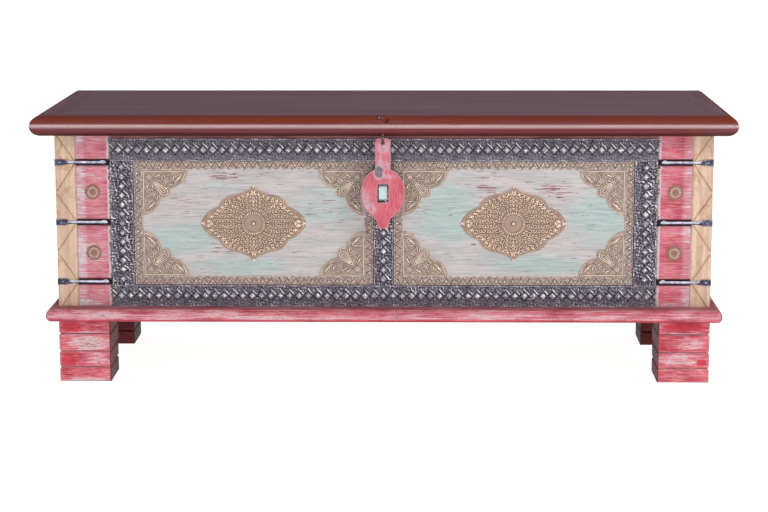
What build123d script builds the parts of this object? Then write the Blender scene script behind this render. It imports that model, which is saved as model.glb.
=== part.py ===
from build123d import *
import os
from math import atan2, degrees, hypot, sqrt

# Damchiya chest in millimetres.  X runs to the right, Y to the back, Z up.
# The origin lies on the floor under the middle of the lid.

# Feet: stacks of rounded courses, listed from the floor up
foot_width = 87.0
foot_depth = 92.0
foot_courses = (24.6, 27.3, 30.4, 24.7)
foot_course_round = 4.0
foot_proud = 5.0                  # feet stand this far in front of and behind the case

# Base moulding, a mitred ring of boards with a rounded outer edge
base_thickness = 22.0
base_board_width = 90.0
base_edge_round = 9.0
base_side_overhang = 17.0
base_front_overhang = 32.0
base_seam_x = 22.0                # the front moulding is joined here from two lengths

# Case
case_width = 1098.0
case_depth = 380.0
case_height = 290.7
wall = 24.0
back_thickness = 18.0
bottom_thickness = 10.0
corner_post = 34.0
pilaster_width = 58.0
front_stile_width = 38.0
top_rail_height = 43.7
bottom_rail_height = 36.5
muntin_width = 33.0

# Panels float in grooves of the frames round them
panel_field_recess = 2.5          # front panels, behind the face of the frame
end_field_recess = 6.0
tongue_setback = 8.0
tongue_thickness = 8.0
tongue_depth = 6.0
groove_clearance = 0.1            # on each face of a tongue
panel_float = 0.5                 # between a panel and the wood beside it

# Iron straps round the front corners, and the notches they lie over
strap_middle = 143.3              # height of the middle strap above the case's bottom
strap_pitch = 101.3
strap_thickness = 3.0
strap_inset = 2.0                 # how deep a strap is let into the post
strap_edge_round = 0.8
strap_plate_height = 11.0
strap_plate_length = 13.0
strap_neck_length = 11.0
strap_bar_height = 5.0
strap_reach = 84.0
strap_flare_height = 7.5
strap_flare_length = 10.0
notch_depth = 8.0
notch_half_height = 7.5
notch_shoulder_round = 6.0
zigzag_width = 3.5                # incised lines on the corner posts

# Rosettes between the straps
rosette_radius = 13.5
rosette_dish_height = 2.4
rosette_boss_radius = 4.0
rosette_boss_height = 5.2
rosette_boss_shoulder = (0.7, 0.8)    # shares of the boss's radius and height
rosette_rim_width = 3.0

# Embossed iron sheets over the front frame
sheet_thickness = 1.0
sheet_top_margin = 5.7            # bare wood above the top sheet
stud_pitch = 15.8
stud_radius = 4.75
stud_height = 2.4
stud_taper = 50.0

# Brass borders, spandrels and medallions on the front panels
brass_thickness = 1.2
border_width = 15.0
brass_gap = 0.3
spandrel_leg = 76.0
spandrel_lobe = (65.0, 22.0)      # along one leg, away from it
spandrel_notch = (43.0, 31.0)
spandrel_leaf_side = (46.0, 38.0)
spandrel_leaf_tip = 44.0
medallion_half_width = 89.0
medallion_half_height = 65.0
medallion_cusps = ((0.66, 0.43), (0.33, 0.75), (0.12, 0.86))      # shares of the two halves
medallion_bulges = ((0.86, 0.28), (0.53, 0.66), (0.22, 0.80), (0.05, 0.92))
medallion_rim = 5.0
medallion_field_rise = 1.0
medallion_boss_radius = 15.0
medallion_boss_rise = 1.2

# Lid
lid_side_overhang = 36.0
lid_front_overhang = 35.0
lid_thickness = 35.0
lid_board_thickness = 22.0
lid_nose_depth = 20.0
lipping_width = 60.0
lid_tongue = 8.0                  # depth and thickness of the board's tongue
lid_seat_gap = 0.3                # between the closed lid and the case
batten_width = 50.0
batten_thickness = 18.0
batten_end_gap = 15.0
batten_x = 260.0

# Butt hinges
hinge_spacing = 380.0
hinge_length = 76.0
hinge_leaf_thickness = 2.0
hinge_case_leaf_height = 36.0
hinge_lid_leaf_depth = 24.0
knuckle_radius = 4.5
knuckle_count = 5
knuckle_gap = 0.3
hinge_pin_radius = 2.2
hinge_pin_clearance = 0.05
hinge_pin_head_radius = 3.4
hinge_pin_head_height = 1.5
mortise_clearance = 0.4

# Hasp, its ring in the lid's edge and the staple that a padlock goes through
ring_setback = 7.0                # from the tip of the lid's edge to the ring's centre
ring_drop = 4.0                   # from the lid's underside to the ring's centre
ring_radius = 5.2
ring_wire_radius = 1.5
ring_shank_radius = 1.7
ring_shank_clearance = 0.1
ring_clench_length = 7.0
ring_clench_rise = 1.7            # over the rounded edge
ring_play = 0.3                   # between the ring and the hasp that hangs on it
nose_pocket_radius = 5.0
nose_pocket_depth = 7.0
hasp_thickness = 3.5
hasp_hole_radius = 3.0
hasp_top_margin = 7.7             # from the hole's centre to the top end
hasp_strap_half_width = 13.0
hasp_top_round = 7.0
hasp_plate_half_width = 37.0
hasp_shoulder_drop = 49.5         # these drops are taken from the ring's centre
hasp_plate_drop = 90.0
hasp_tail_drop = 134.0
hasp_tip_drop = 149.0
hasp_tail_half_width = 11.5
hasp_tail_flare = 4.5
hasp_tip_half_width = 8.0
hasp_upper_bulge = (0.80, 0.36)   # the plate's arcs pass these shares of its width and drops
hasp_lower_bulge = (0.82, 0.57)
slot_width = 18.0
slot_height = 30.6
staple_width = 14.0
staple_height = 26.0
staple_thickness = 4.0
staple_embedded = 18.0
staple_round = 5.0
staple_clearance = 0.1
hasp_staple_gap = 0.8

# Levels and faces worked out from the sizes above
foot_height = sum(foot_courses)
case_bottom = foot_height + base_thickness
case_top = case_bottom + case_height
lid_bottom = case_top + lid_seat_gap
lid_top = lid_bottom + lid_thickness
side = case_width / 2
front = case_depth / 2
post_edge = side - corner_post
pilaster_edge = post_edge - pilaster_width
stile_edge = pilaster_edge - front_stile_width
top_rail_low = case_top - top_rail_height
bottom_rail_high = case_bottom + bottom_rail_height
groove_depth = tongue_depth + panel_float
tongue_front = tongue_setback
tongue_back = tongue_setback + tongue_thickness
strap_levels = [case_bottom + strap_middle + step * strap_pitch for step in (-1, 0, 1)]
rosette_levels = [case_bottom + strap_middle + step * strap_pitch / 2 for step in (-1, 1)]
base_width = case_width + 2 * base_side_overhang
base_depth = case_depth + 2 * base_front_overhang
lid_width = case_width + 2 * lid_side_overhang
lid_depth = case_depth + 2 * lid_front_overhang
ring_y = -(lid_depth / 2 - ring_setback)
ring_z = lid_bottom - ring_drop
hinge_y = front + knuckle_radius
hinge_z = lid_bottom + hinge_leaf_thickness - knuckle_radius


def span(x0, x1, y0, y1, z0, z1):
    """A box between two corners."""
    return Pos((x0 + x1) / 2, (y0 + y1) / 2, (z0 + z1) / 2) * Box(x1 - x0, y1 - y0, z1 - z0)


def across(face, x0, x1):
    """A face drawn in Y and Z, extruded from x0 to x1."""
    return Pos(x0, 0, 0) * extrude(Plane.YZ * face, amount=x1 - x0)


def facing(face, y_back, thickness):
    """A face drawn in X and Z, extruded towards the front from y_back."""
    return Pos(0, y_back, 0) * extrude(Plane.XZ * face, amount=thickness)


def swapped(piece):
    """A piece mirrored in the plane x = y."""
    return mirror(Rot(0, 0, 90) * piece, Plane.YZ)


def on_left(piece):
    """A piece drawn with its outer face at y = 0, moved to the left end of the case."""
    return Pos(-side, 0, 0) * Rot(0, 0, -90) * piece


def on_right(piece):
    return Pos(side, 0, 0) * Rot(0, 0, 90) * piece


# Feet and base moulding

def foot(x, y):
    """Four courses with rounded rims, so that a groove runs round between them."""
    layers = []
    level = 0.0
    for index, height in enumerate(foot_courses):
        layer = Pos(0, 0, level + height / 2) * Box(foot_width, foot_depth, height)
        rims = []
        if index > 0:
            rims += layer.faces().sort_by(Axis.Z)[0].edges()
        if index < len(foot_courses) - 1:
            rims += layer.faces().sort_by(Axis.Z)[-1].edges()
        layers.append(fillet(rims, foot_course_round))
        level += height
    return Pos(x, y, 0) * (layers[0] + layers[1:])


def mitred_board(profile, length, width, thickness):
    """A moulding that runs along X with its outer edge at y = 0, mitred at both ends."""
    half = length / 2
    plan = Polyline((-half, 0), (half, 0), (half - width, width), (-half + width, width), close=True)
    return across(profile, -half, half) & extrude(make_face(plan), amount=thickness)


def ring_of_boards(profile, length, depth, width, thickness, z):
    """The front, back, left and right boards of a mitred ring."""
    long_board = mitred_board(profile, length, width, thickness)
    short_board = mitred_board(profile, depth, width, thickness)
    return (
        Pos(0, -depth / 2, z) * long_board,
        Pos(0, depth / 2, z) * Rot(0, 0, 180) * long_board,
        Pos(-length / 2, 0, z) * Rot(0, 0, -90) * short_board,
        Pos(length / 2, 0, z) * Rot(0, 0, 90) * short_board,
    )


def base_profile():
    board = Pos(base_board_width / 2, base_thickness / 2) * Rectangle(base_board_width, base_thickness)
    return fillet(board.vertices().group_by(Axis.X)[0], base_edge_round)


# Frames and panels, drawn with the outer face at y = 0

def frame_bar(x0, x1, z0, z1):
    return span(x0, x1, 0, wall, z0, z1)


def groove(x0, x1, z0, z1):
    """The slot that a panel's tongue stands in."""
    return span(x0, x1, tongue_front - groove_clearance, tongue_back + groove_clearance, z0, z1)


def rail(x0, x1, z0, z1, panel_side):
    """A rail with a groove towards the panel and stub tenons in the stiles' grooves."""
    if panel_side == "below":
        slot = groove(x0 - tongue_depth, x1 + tongue_depth, z0, z0 + groove_depth)
        tenon = span(x0 - tongue_depth, x1 + tongue_depth, tongue_front, tongue_back, z0 + groove_depth, z1)
    else:
        slot = groove(x0 - tongue_depth, x1 + tongue_depth, z1 - groove_depth, z1)
        tenon = span(x0 - tongue_depth, x1 + tongue_depth, tongue_front, tongue_back, z0, z1 - groove_depth)
    return frame_bar(x0, x1, z0, z1) + tenon - slot


def panel(x0, x1, z0, z1, field_recess):
    """A raised field with a tongue round it; x0 to z1 are the sides of the opening."""
    field = span(x0 + panel_float, x1 - panel_float, field_recess, tongue_back,
                 z0 + panel_float, z1 - panel_float)
    tongue = span(x0 - tongue_depth, x1 + tongue_depth, tongue_front, tongue_back,
                  z0 - tongue_depth, z1 + tongue_depth)
    return field + tongue


def pilaster(x0, x1):
    """A pilaster whose outer face is notched at each strap, with rounded shoulders."""
    outline = [(wall, case_bottom), (0, case_bottom)]
    for level in strap_levels:
        outline += [(0, level - notch_half_height), (notch_depth, level), (0, level + notch_half_height)]
    outline += [(0, case_top), (wall, case_top)]
    face = make_face(Polyline(*outline, close=True))
    shoulders = face.vertices().group_by(Axis.X)[0].sort_by(Axis.Y)[1:-1]
    return across(fillet(shoulders, notch_shoulder_round), x0, x1)


def front_frame():
    """The stiles, rails and muntin of the front, and its two panels."""
    stile_right = frame_bar(stile_edge, pilaster_edge, case_bottom, case_top)
    stile_right -= groove(stile_edge, stile_edge + groove_depth, case_bottom, case_top)
    half = muntin_width / 2
    muntin = frame_bar(-half, half, bottom_rail_high, top_rail_low)
    for way in (-1, 1):
        edge = sorted((way * half, way * (half - groove_depth)))
        muntin -= groove(edge[0], edge[1], bottom_rail_high, top_rail_low)
    tenon_half = half - groove_depth
    muntin += span(-tenon_half, tenon_half, tongue_front, tongue_back,
                   bottom_rail_high - tongue_depth, top_rail_low + tongue_depth)
    muntin -= staple_legs(staple_clearance)
    set_back = Pos(0, -front, 0)
    pieces = {
        "front_stile_right": stile_right,
        "front_stile_left": mirror(stile_right, Plane.YZ),
        "front_rail_top": rail(-stile_edge, stile_edge, top_rail_low, case_top, "below"),
        "front_rail_bottom": rail(-stile_edge, stile_edge, case_bottom, bottom_rail_high, "above"),
        "front_muntin": muntin,
        "front_panel_right": panel(half, stile_edge, bottom_rail_high, top_rail_low, panel_field_recess),
        "front_panel_left": panel(-stile_edge, -half, bottom_rail_high, top_rail_low, panel_field_recess),
        "pilaster_front_left": pilaster(-post_edge, -pilaster_edge),
        "pilaster_front_right": pilaster(pilaster_edge, post_edge),
    }
    return {name: set_back * piece for name, piece in pieces.items()}


def end_frame():
    """Two pilasters, two rails and a panel, as both ends of the case have them."""
    edge = front - corner_post
    inner = edge - pilaster_width
    near = pilaster(inner, edge) - groove(inner, inner + groove_depth, case_bottom, case_top)
    return {
        "pilaster_near": near,
        "pilaster_far": mirror(near, Plane.YZ),
        "rail_top": rail(-inner, inner, top_rail_low, case_top, "below"),
        "rail_bottom": rail(-inner, inner, case_bottom, bottom_rail_high, "above"),
        "panel": panel(-inner, inner, bottom_rail_high, top_rail_low, end_field_recess),
    }


def zigzag():
    """Cutters for the incised lines on the face y = 0 of a post whose outer corner is at x = 0.

    The lines meet the post's inner edge level with the straps."""
    rise = strap_pitch / 2
    length = hypot(corner_post, rise)
    turn = degrees(atan2(rise, corner_post))
    bar = zigzag_width / sqrt(2)
    return [
        Pos(corner_post / 2, 0, level + way * rise / 2) * Rot(0, way * turn, 0) * Rot(45, 0, 0)
        * Box(length, bar, bar)
        for level in strap_levels for way in (-1, 1)
    ]


def corner_post_at(x_side, y_side):
    """A square post; x_side and y_side are -1 or 1 for the corner it stands in."""
    post = span(0, corner_post, 0, corner_post, case_bottom, case_top)
    post -= [swapped(line) for line in zigzag()]
    if y_side < 0:
        post -= zigzag()
        post -= [strap_at(level) for level in strap_levels]
    if x_side > 0:
        post = mirror(post, Plane.YZ)
    if y_side > 0:
        post = mirror(post, Plane.XZ)
    return Pos(x_side * side, y_side * front, 0) * post


def bottom_board():
    board = span(-side + wall, side - wall, -front + wall, front - back_thickness,
                 case_bottom, case_bottom + bottom_thickness)
    for x in (-side, post_edge):
        for y in (-front, front - corner_post):
            board -= span(x, x + corner_post, y, y + corner_post, case_bottom, case_top)
    return board


# Iron and brass on the front

def strap_arm():
    """One arm of a strap, drawn in X and Z: a plate, a neck, a bar and a flared end."""
    plate = strap_plate_height / 2
    bar = strap_bar_height / 2
    flare = strap_flare_height / 2
    neck_end = strap_plate_length + strap_neck_length
    flare_start = strap_reach - strap_flare_length
    upper = [
        (strap_plate_length, plate),
        (strap_plate_length + strap_neck_length / 2, (plate + bar) / 2 - bar / 4),
        (neck_end, bar),
    ]
    edge = Polyline((-strap_thickness, 0), (-strap_thickness, plate), upper[0])
    edge += ThreePointArc(*upper)
    edge += Line(upper[-1], (flare_start, bar))
    edge += ThreePointArc((flare_start, bar), (strap_reach - flare, flare), (strap_reach, 0))
    edge += Line((strap_reach, 0), (-strap_thickness, 0))
    half = make_face(edge)
    return half + mirror(half, Plane.XZ)


def strap_at(level):
    """A strap round the corner at x = 0 and y = 0, with an arm on the front and on the end."""
    arm = facing(strap_arm(), 0, strap_thickness)
    outline = arm.faces().sort_by(Axis.Y)[0].edges()
    arm = fillet(outline - outline.filter_by(Axis.Z), strap_edge_round)
    return Pos(strap_inset, strap_inset, level) * (arm + swapped(arm))


def corner_straps():
    """The three straps of the left front corner."""
    return [Pos(-side, -front, 0) * strap_at(level) for level in strap_levels]


def rosette(x, z):
    dish = rosette_radius - rosette_rim_width
    outline = Polyline(
        (0, 0),
        (rosette_radius, 0),
        (rosette_radius - rosette_rim_width / 2, rosette_dish_height),
        (dish, brass_thickness),
        ((dish + rosette_boss_radius) / 2, rosette_dish_height),
        (rosette_boss_radius, brass_thickness),
        (rosette_boss_radius * rosette_boss_shoulder[0], rosette_boss_height * rosette_boss_shoulder[1]),
        (0, rosette_boss_height),
        close=True,
    )
    turned = revolve(make_face(outline), Axis.Y)
    return Pos(x, -front, z) * Rot(180, 0, 0) * turned


def stud(x, z):
    """A diamond raised on the embossed sheet."""
    base = Plane.XZ * RegularPolygon(stud_radius, 4)
    return Pos(x, -front - sheet_thickness, z) * extrude(base, amount=stud_height, taper=stud_taper)


def stud_places(low, high):
    """Places one pitch apart, centred between low and high."""
    count = int((high - low - stud_radius) / stud_pitch)
    middle = (low + high) / 2
    return [middle + (index - (count - 1) / 2) * stud_pitch for index in range(count)]


def wide_sheet(z0, z1):
    plate = span(-pilaster_edge, pilaster_edge, -front - sheet_thickness, -front, z0, z1)
    return plate + [stud(x, (z0 + z1) / 2) for x in stud_places(-pilaster_edge, pilaster_edge)]


def tall_sheet(x0, x1, bare):
    """A sheet between the wide ones, with no stud where bare(z) holds."""
    plate = span(x0, x1, -front - sheet_thickness, -front, bottom_rail_high, top_rail_low)
    levels = [z for z in stud_places(bottom_rail_high, top_rail_low) if not bare(z)]
    return plate + [stud((x0 + x1) / 2, z) for z in levels]


def front_sheets():
    half = muntin_width / 2
    staple_level = ring_z - hasp_plate_drop
    centre = tall_sheet(-half, half, lambda z: abs(z - staple_level) < staple_height / 2 + stud_radius)
    return {
        "sheet_top": wide_sheet(top_rail_low, case_top - sheet_top_margin),
        "sheet_bottom": wide_sheet(case_bottom, bottom_rail_high),
        "sheet_left": tall_sheet(-pilaster_edge, -stile_edge, lambda z: False),
        "sheet_right": tall_sheet(stile_edge, pilaster_edge, lambda z: False),
        "sheet_centre": centre - Pos(0, -front, 0) * staple_legs(staple_clearance),
    }


def spandrel_outline():
    """The corner piece, with its right angle at the origin and its legs along +X and +Y."""
    tip = (spandrel_leaf_tip, spandrel_leaf_tip)
    edge = Line((0, 0), (spandrel_leg, 0))
    edge += ThreePointArc((spandrel_leg, 0), spandrel_lobe, spandrel_notch)
    edge += ThreePointArc(spandrel_notch, spandrel_leaf_side, tip)
    edge += ThreePointArc(tip, spandrel_leaf_side[::-1], spandrel_notch[::-1])
    edge += ThreePointArc(spandrel_notch[::-1], spandrel_lobe[::-1], (0, spandrel_leg))
    edge += Line((0, spandrel_leg), (0, 0))
    return make_face(edge)


def medallion_outline():
    """Pointed at both ends of each axis, with three lobes in every quarter."""
    w, h = medallion_half_width, medallion_half_height
    ends = [(w * x, h * y) for x, y in ((1, 0), *medallion_cusps, (0, 1))]
    bulges = [(w * x, h * y) for x, y in medallion_bulges]
    edge = Line((0, h), (0, 0)) + Line((0, 0), (w, 0))
    for start, bulge, end in zip(ends, bulges, ends[1:]):
        edge += ThreePointArc(start, bulge, end)
    quarter = make_face(edge)
    half = quarter + mirror(quarter, Plane.YZ)
    return half + mirror(half, Plane.XZ)


def panel_brass(x0, x1):
    """The border, spandrels and medallion on the panel between x0 and x1."""
    z0, z1 = bottom_rail_high, top_rail_low
    face_y = -front + panel_field_recess
    inset = brass_gap + panel_float
    outer = span(x0 + inset, x1 - inset, face_y - brass_thickness, face_y, z0 + inset, z1 - inset)
    inner = inset + border_width
    border = outer - span(x0 + inner, x1 - inner, face_y - brass_thickness, face_y, z0 + inner, z1 - inner)
    reach = inner + brass_gap
    corner = spandrel_outline()
    spandrels = []
    for x, x_way in ((x0 + reach, 1), (x1 - reach, -1)):
        for z, z_way in ((z0 + reach, 1), (z1 - reach, -1)):
            turned = corner if x_way > 0 else mirror(corner, Plane.YZ)
            turned = turned if z_way > 0 else mirror(turned, Plane.XZ)
            spandrels.append(facing(Pos(x, z) * turned, face_y, brass_thickness))
    outline = Pos((x0 + x1) / 2, (z0 + z1) / 2) * medallion_outline()
    medallion = facing(outline, face_y, brass_thickness)
    shrink = 1 - medallion_rim / medallion_half_height
    field = Pos((x0 + x1) / 2, (z0 + z1) / 2) * scale(medallion_outline(), by=shrink)
    medallion += facing(field, face_y - brass_thickness, medallion_field_rise)
    boss = Pos((x0 + x1) / 2, (z0 + z1) / 2) * Circle(medallion_boss_radius)
    medallion += facing(boss, face_y - brass_thickness - medallion_field_rise, medallion_boss_rise)
    return border, spandrels, medallion


# Lid

def lipping_profile():
    """A thick edge board with a half-elliptical nose and a groove for the lid board."""
    square = lipping_width - lid_nose_depth
    body = Pos(lid_nose_depth + square / 2, lid_thickness / 2) * Rectangle(square, lid_thickness)
    nose = Pos(lid_nose_depth, lid_thickness / 2) * Ellipse(lid_nose_depth, lid_thickness / 2)
    deep = lid_tongue + panel_float
    slot_level = lid_thickness - lid_board_thickness / 2
    slot = Pos(lipping_width - deep / 2, slot_level) * Rectangle(deep, lid_tongue + 2 * groove_clearance)
    return body + nose - slot


def lid_board():
    half_x = lid_width / 2 - lipping_width
    half_y = lid_depth / 2 - lipping_width
    low = lid_top - lid_board_thickness
    middle = lid_top - lid_board_thickness / 2
    board = span(-half_x, half_x, -half_y, half_y, low, lid_top)
    tongue = span(-half_x - lid_tongue, half_x + lid_tongue, -half_y - lid_tongue, half_y + lid_tongue,
                  middle - lid_tongue / 2, middle + lid_tongue / 2)
    return board + tongue


def battens():
    low = lid_top - lid_board_thickness - batten_thickness
    reach = lid_depth / 2 - lipping_width - batten_end_gap
    return [
        span(x - batten_width / 2, x + batten_width / 2, -reach, reach, low, low + batten_thickness)
        for x in (-batten_x, batten_x)
    ]


# Hinges

def knuckle_spans(x, parity):
    """The stretches of the barrel that belong to one leaf."""
    pitch = hinge_length / knuckle_count
    start = x - hinge_length / 2
    return [
        (start + index * pitch + knuckle_gap / 2, start + (index + 1) * pitch - knuckle_gap / 2)
        for index in range(knuckle_count) if index % 2 == parity
    ]


def barrel(x0, x1, radius):
    return Pos((x0 + x1) / 2, hinge_y, hinge_z) * Rot(0, 90, 0) * Cylinder(radius, x1 - x0)


def hinge_leaf(x, leaf, parity):
    """A leaf with its knuckles, clear of the other leaf's knuckles."""
    half = hinge_length / 2
    clear = knuckle_radius + knuckle_gap
    for x0, x1 in knuckle_spans(x, 1 - parity):
        leaf -= span(x0 - knuckle_gap, x1 + knuckle_gap, hinge_y - clear, hinge_y + clear,
                     hinge_z - clear, hinge_z + clear)
    for x0, x1 in knuckle_spans(x, parity):
        leaf += barrel(x0, x1, knuckle_radius)
    return leaf - barrel(x - half, x + half, hinge_pin_radius + hinge_pin_clearance)


def case_leaf(x):
    half = hinge_length / 2
    plate = span(x - half, x + half, front, front + hinge_leaf_thickness,
                 hinge_z - hinge_case_leaf_height, hinge_z)
    return hinge_leaf(x, plate, 0)


def lid_leaf(x):
    half = hinge_length / 2
    plate = span(x - half, x + half, hinge_y - hinge_lid_leaf_depth, hinge_y,
                 lid_bottom, lid_bottom + hinge_leaf_thickness)
    return hinge_leaf(x, plate, 1)


def hinge_pin(x):
    half = hinge_length / 2
    pin = barrel(x - half, x + half, hinge_pin_radius)
    for way in (-1, 1):
        ends = sorted((x + way * half, x + way * (half + hinge_pin_head_height)))
        pin += barrel(ends[0], ends[1], hinge_pin_head_radius)
    return pin


def hinge_mortise(x):
    """The recess in the lid's underside for one hinge."""
    half = hinge_length / 2 + hinge_pin_head_height + mortise_clearance
    clear = knuckle_radius + mortise_clearance
    leaf = span(x - half, x + half, hinge_y - hinge_lid_leaf_depth - panel_float, hinge_y,
                lid_bottom, lid_bottom + hinge_leaf_thickness)
    knuckles = span(x - half, x + half, hinge_y - clear, hinge_y + clear, lid_bottom, hinge_z + clear)
    return leaf + knuckles


# Hasp

def staple_outline(grow):
    """The staple from the side, in Y and Z, as a bar bent twice; y is 0 at the wood's face."""
    tip = ring_y + hasp_thickness / 2 + hasp_staple_gap + front
    level = ring_z - hasp_plate_drop
    half = staple_height / 2 + grow
    length = staple_embedded + grow - tip
    outer = Pos(tip + length / 2, level) * Rectangle(length, 2 * half)
    outer = fillet(outer.vertices().group_by(Axis.X)[0], staple_round)
    inner_length = length - staple_thickness
    inner_half = half - staple_thickness - 2 * grow
    inner = Pos(tip + staple_thickness + inner_length / 2, level) * Rectangle(inner_length, 2 * inner_half)
    inner = fillet(inner.vertices().group_by(Axis.X)[0], staple_round - staple_thickness / 2)
    return outer - inner


def staple_legs(grow):
    """The staple with its face at y = 0, grown by a clearance for the holes it stands in."""
    half = staple_width / 2 + grow
    return across(staple_outline(grow), -half, half)


def hasp():
    """A hanging strap that widens to a round plate with a slot, and a short tail."""
    ring_inside = ring_radius - ring_wire_radius - ring_play
    hole_drop = sqrt(ring_inside ** 2 - (hasp_thickness / 2) ** 2) + hasp_hole_radius
    top = ring_z - hole_drop + hasp_top_margin
    shoulder = ring_z - hasp_shoulder_drop
    middle = ring_z - hasp_plate_drop
    tail = ring_z - hasp_tail_drop
    tip = ring_z - hasp_tip_drop
    strap, plate, rounding = hasp_strap_half_width, hasp_plate_half_width, hasp_top_round
    corner = (strap - rounding * (1 - sqrt(0.5)), top - rounding * (1 - sqrt(0.5)))
    upper = (plate * hasp_upper_bulge[0], shoulder - hasp_upper_bulge[1] * (shoulder - middle))
    lower = (plate * hasp_lower_bulge[0], middle - hasp_lower_bulge[1] * (middle - tail))
    neck = (hasp_tail_half_width + hasp_tail_flare, tail + hasp_tail_flare)
    edge = Line((0, top), (strap - rounding, top))
    edge += ThreePointArc((strap - rounding, top), corner, (strap, top - rounding))
    edge += Line((strap, top - rounding), (strap, shoulder))
    edge += ThreePointArc((strap, shoulder), upper, (plate, middle))
    edge += ThreePointArc((plate, middle), lower, neck)
    edge += Polyline(neck, (hasp_tail_half_width, tail), (hasp_tip_half_width, tip), (0, tip), (0, top))
    half = make_face(edge)
    face = half + mirror(half, Plane.YZ)
    face -= Pos(0, ring_z - hole_drop) * Circle(hasp_hole_radius)
    face -= Pos(0, middle) * Rectangle(slot_width, slot_height)
    return facing(face, ring_y + hasp_thickness / 2, hasp_thickness)


def nose_top(y):
    """Height of the lid's rounded edge over a place y in front of the case."""
    along = (-y - (lid_depth / 2 - lid_nose_depth)) / lid_nose_depth
    return lid_bottom + lid_thickness / 2 * (1 + sqrt(1 - along ** 2))


def ring_shank(low, radius):
    """The rod from a level up through the lid's edge and bent over to the left on top of it."""
    high = nose_top(ring_y) + ring_clench_rise
    upright = Pos(0, ring_y, (low + high) / 2) * Cylinder(radius, high - low)
    knee = Pos(0, ring_y, high) * Sphere(radius)
    length = ring_clench_length + radius - ring_shank_radius
    clench = Pos(-length / 2, ring_y, high) * Rot(0, 90, 0) * Cylinder(radius, length)
    return upright + knee + clench


def hasp_ring():
    """A closed ring on a shank that goes up through the lid's edge and is clenched there."""
    ring = Pos(0, ring_y, ring_z) * Rot(0, 90, 0) * Torus(ring_radius, ring_wire_radius)
    return ring + ring_shank(ring_z + ring_radius, ring_shank_radius)


def ring_hole():
    """The shank's hole in the lid's edge, and the pocket worn round its top."""
    floor = nose_top(ring_y) - nose_pocket_depth
    pocket = Pos(nose_pocket_radius, ring_y - ring_shank_radius, floor + lid_thickness / 2) * Cylinder(
        nose_pocket_radius, lid_thickness)
    return ring_shank(lid_bottom, ring_shank_radius + ring_shank_clearance) + pocket


# All the pieces by name

def chest():
    pieces = {}
    foot_x = side - foot_width / 2
    foot_y = front + foot_proud - foot_depth / 2
    for row, y in (("front", -foot_y), ("rear", foot_y)):
        for hand, x in (("left", -foot_x), ("right", foot_x)):
            pieces[f"foot_{row}_{hand}"] = foot(x, y)
            way = (1 if hand == "right" else -1, 1 if row == "rear" else -1)
            pieces[f"corner_post_{row}_{hand}"] = corner_post_at(*way)

    base = ring_of_boards(base_profile(), base_width, base_depth, base_board_width,
                          base_thickness, foot_height)
    seam = span(-base_width, base_seam_x, -base_depth, base_depth, 0, case_bottom)
    pieces["base_front_left"] = base[0] & seam
    pieces["base_front_right"] = base[0] - seam
    pieces["base_back"], pieces["base_left"], pieces["base_right"] = base[1:]
    pieces["bottom_board"] = bottom_board()
    pieces["back_board"] = span(-post_edge, post_edge, front - back_thickness, front, case_bottom, case_top)

    pieces.update(front_frame())
    for name, piece in end_frame().items():
        left_name = {"pilaster_near": "pilaster_left_front", "pilaster_far": "pilaster_left_rear"}
        right_name = {"pilaster_near": "pilaster_right_rear", "pilaster_far": "pilaster_right_front"}
        pieces[left_name.get(name, f"left_{name}")] = on_left(piece)
        pieces[right_name.get(name, f"right_{name}")] = on_right(piece)

    pieces.update(front_sheets())
    half = muntin_width / 2
    for hand, x0, x1 in (("left", -stile_edge, -half), ("right", half, stile_edge)):
        border, spandrels, medallion = panel_brass(x0, x1)
        pieces[f"border_{hand}"] = border
        pieces[f"spandrels_{hand}"] = spandrels
        pieces[f"medallion_{hand}"] = medallion
    rosette_x = (post_edge + pilaster_edge) / 2
    pieces["rosettes"] = [rosette(x, z) for x in (-rosette_x, rosette_x) for z in rosette_levels]
    pieces["corner_straps_left"] = corner_straps()
    pieces["corner_straps_right"] = [mirror(strap, Plane.YZ) for strap in corner_straps()]
    pieces["padlock_staple"] = Pos(0, -front, 0) * staple_legs(0)

    lipping = ring_of_boards(lipping_profile(), lid_width, lid_depth, lipping_width,
                             lid_thickness, lid_bottom)
    hinge_places = [index * hinge_spacing for index in (-1, 0, 1)]
    pieces["lid_lipping_front"] = lipping[0] - ring_hole()
    pieces["lid_lipping_back"] = lipping[1] - [hinge_mortise(x) for x in hinge_places]
    pieces["lid_lipping_left"] = lipping[2]
    pieces["lid_lipping_right"] = lipping[3]
    pieces["lid_board"] = lid_board()
    pieces["lid_battens"] = battens()
    pieces["hinge_case_leaves"] = [case_leaf(x) for x in hinge_places]
    pieces["hinge_lid_leaves"] = [lid_leaf(x) for x in hinge_places]
    pieces["hinge_pins"] = [hinge_pin(x) for x in hinge_places]
    pieces["hasp_ring"] = hasp_ring()
    pieces["hasp"] = hasp()
    return pieces


os.makedirs("parts", exist_ok=True)
for piece_name, shape in chest().items():
    solids = [solid for item in (shape if isinstance(shape, list) else [shape]) for solid in item.solids()]
    export_step(Compound(children=solids) if len(solids) > 1 else solids[0], f"parts/{piece_name}.step")
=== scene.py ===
"""Looks of a damchiya chest: worn paint, polished wood, embossed iron and brass, and the studio."""
import logging
import math
from abc import ABC, abstractmethod
from dataclasses import dataclass, replace
from enum import Enum
from typing import Any, Iterable, Union

import bpy
import numpy as np
from mathutils import Euler, Matrix, Vector


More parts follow.
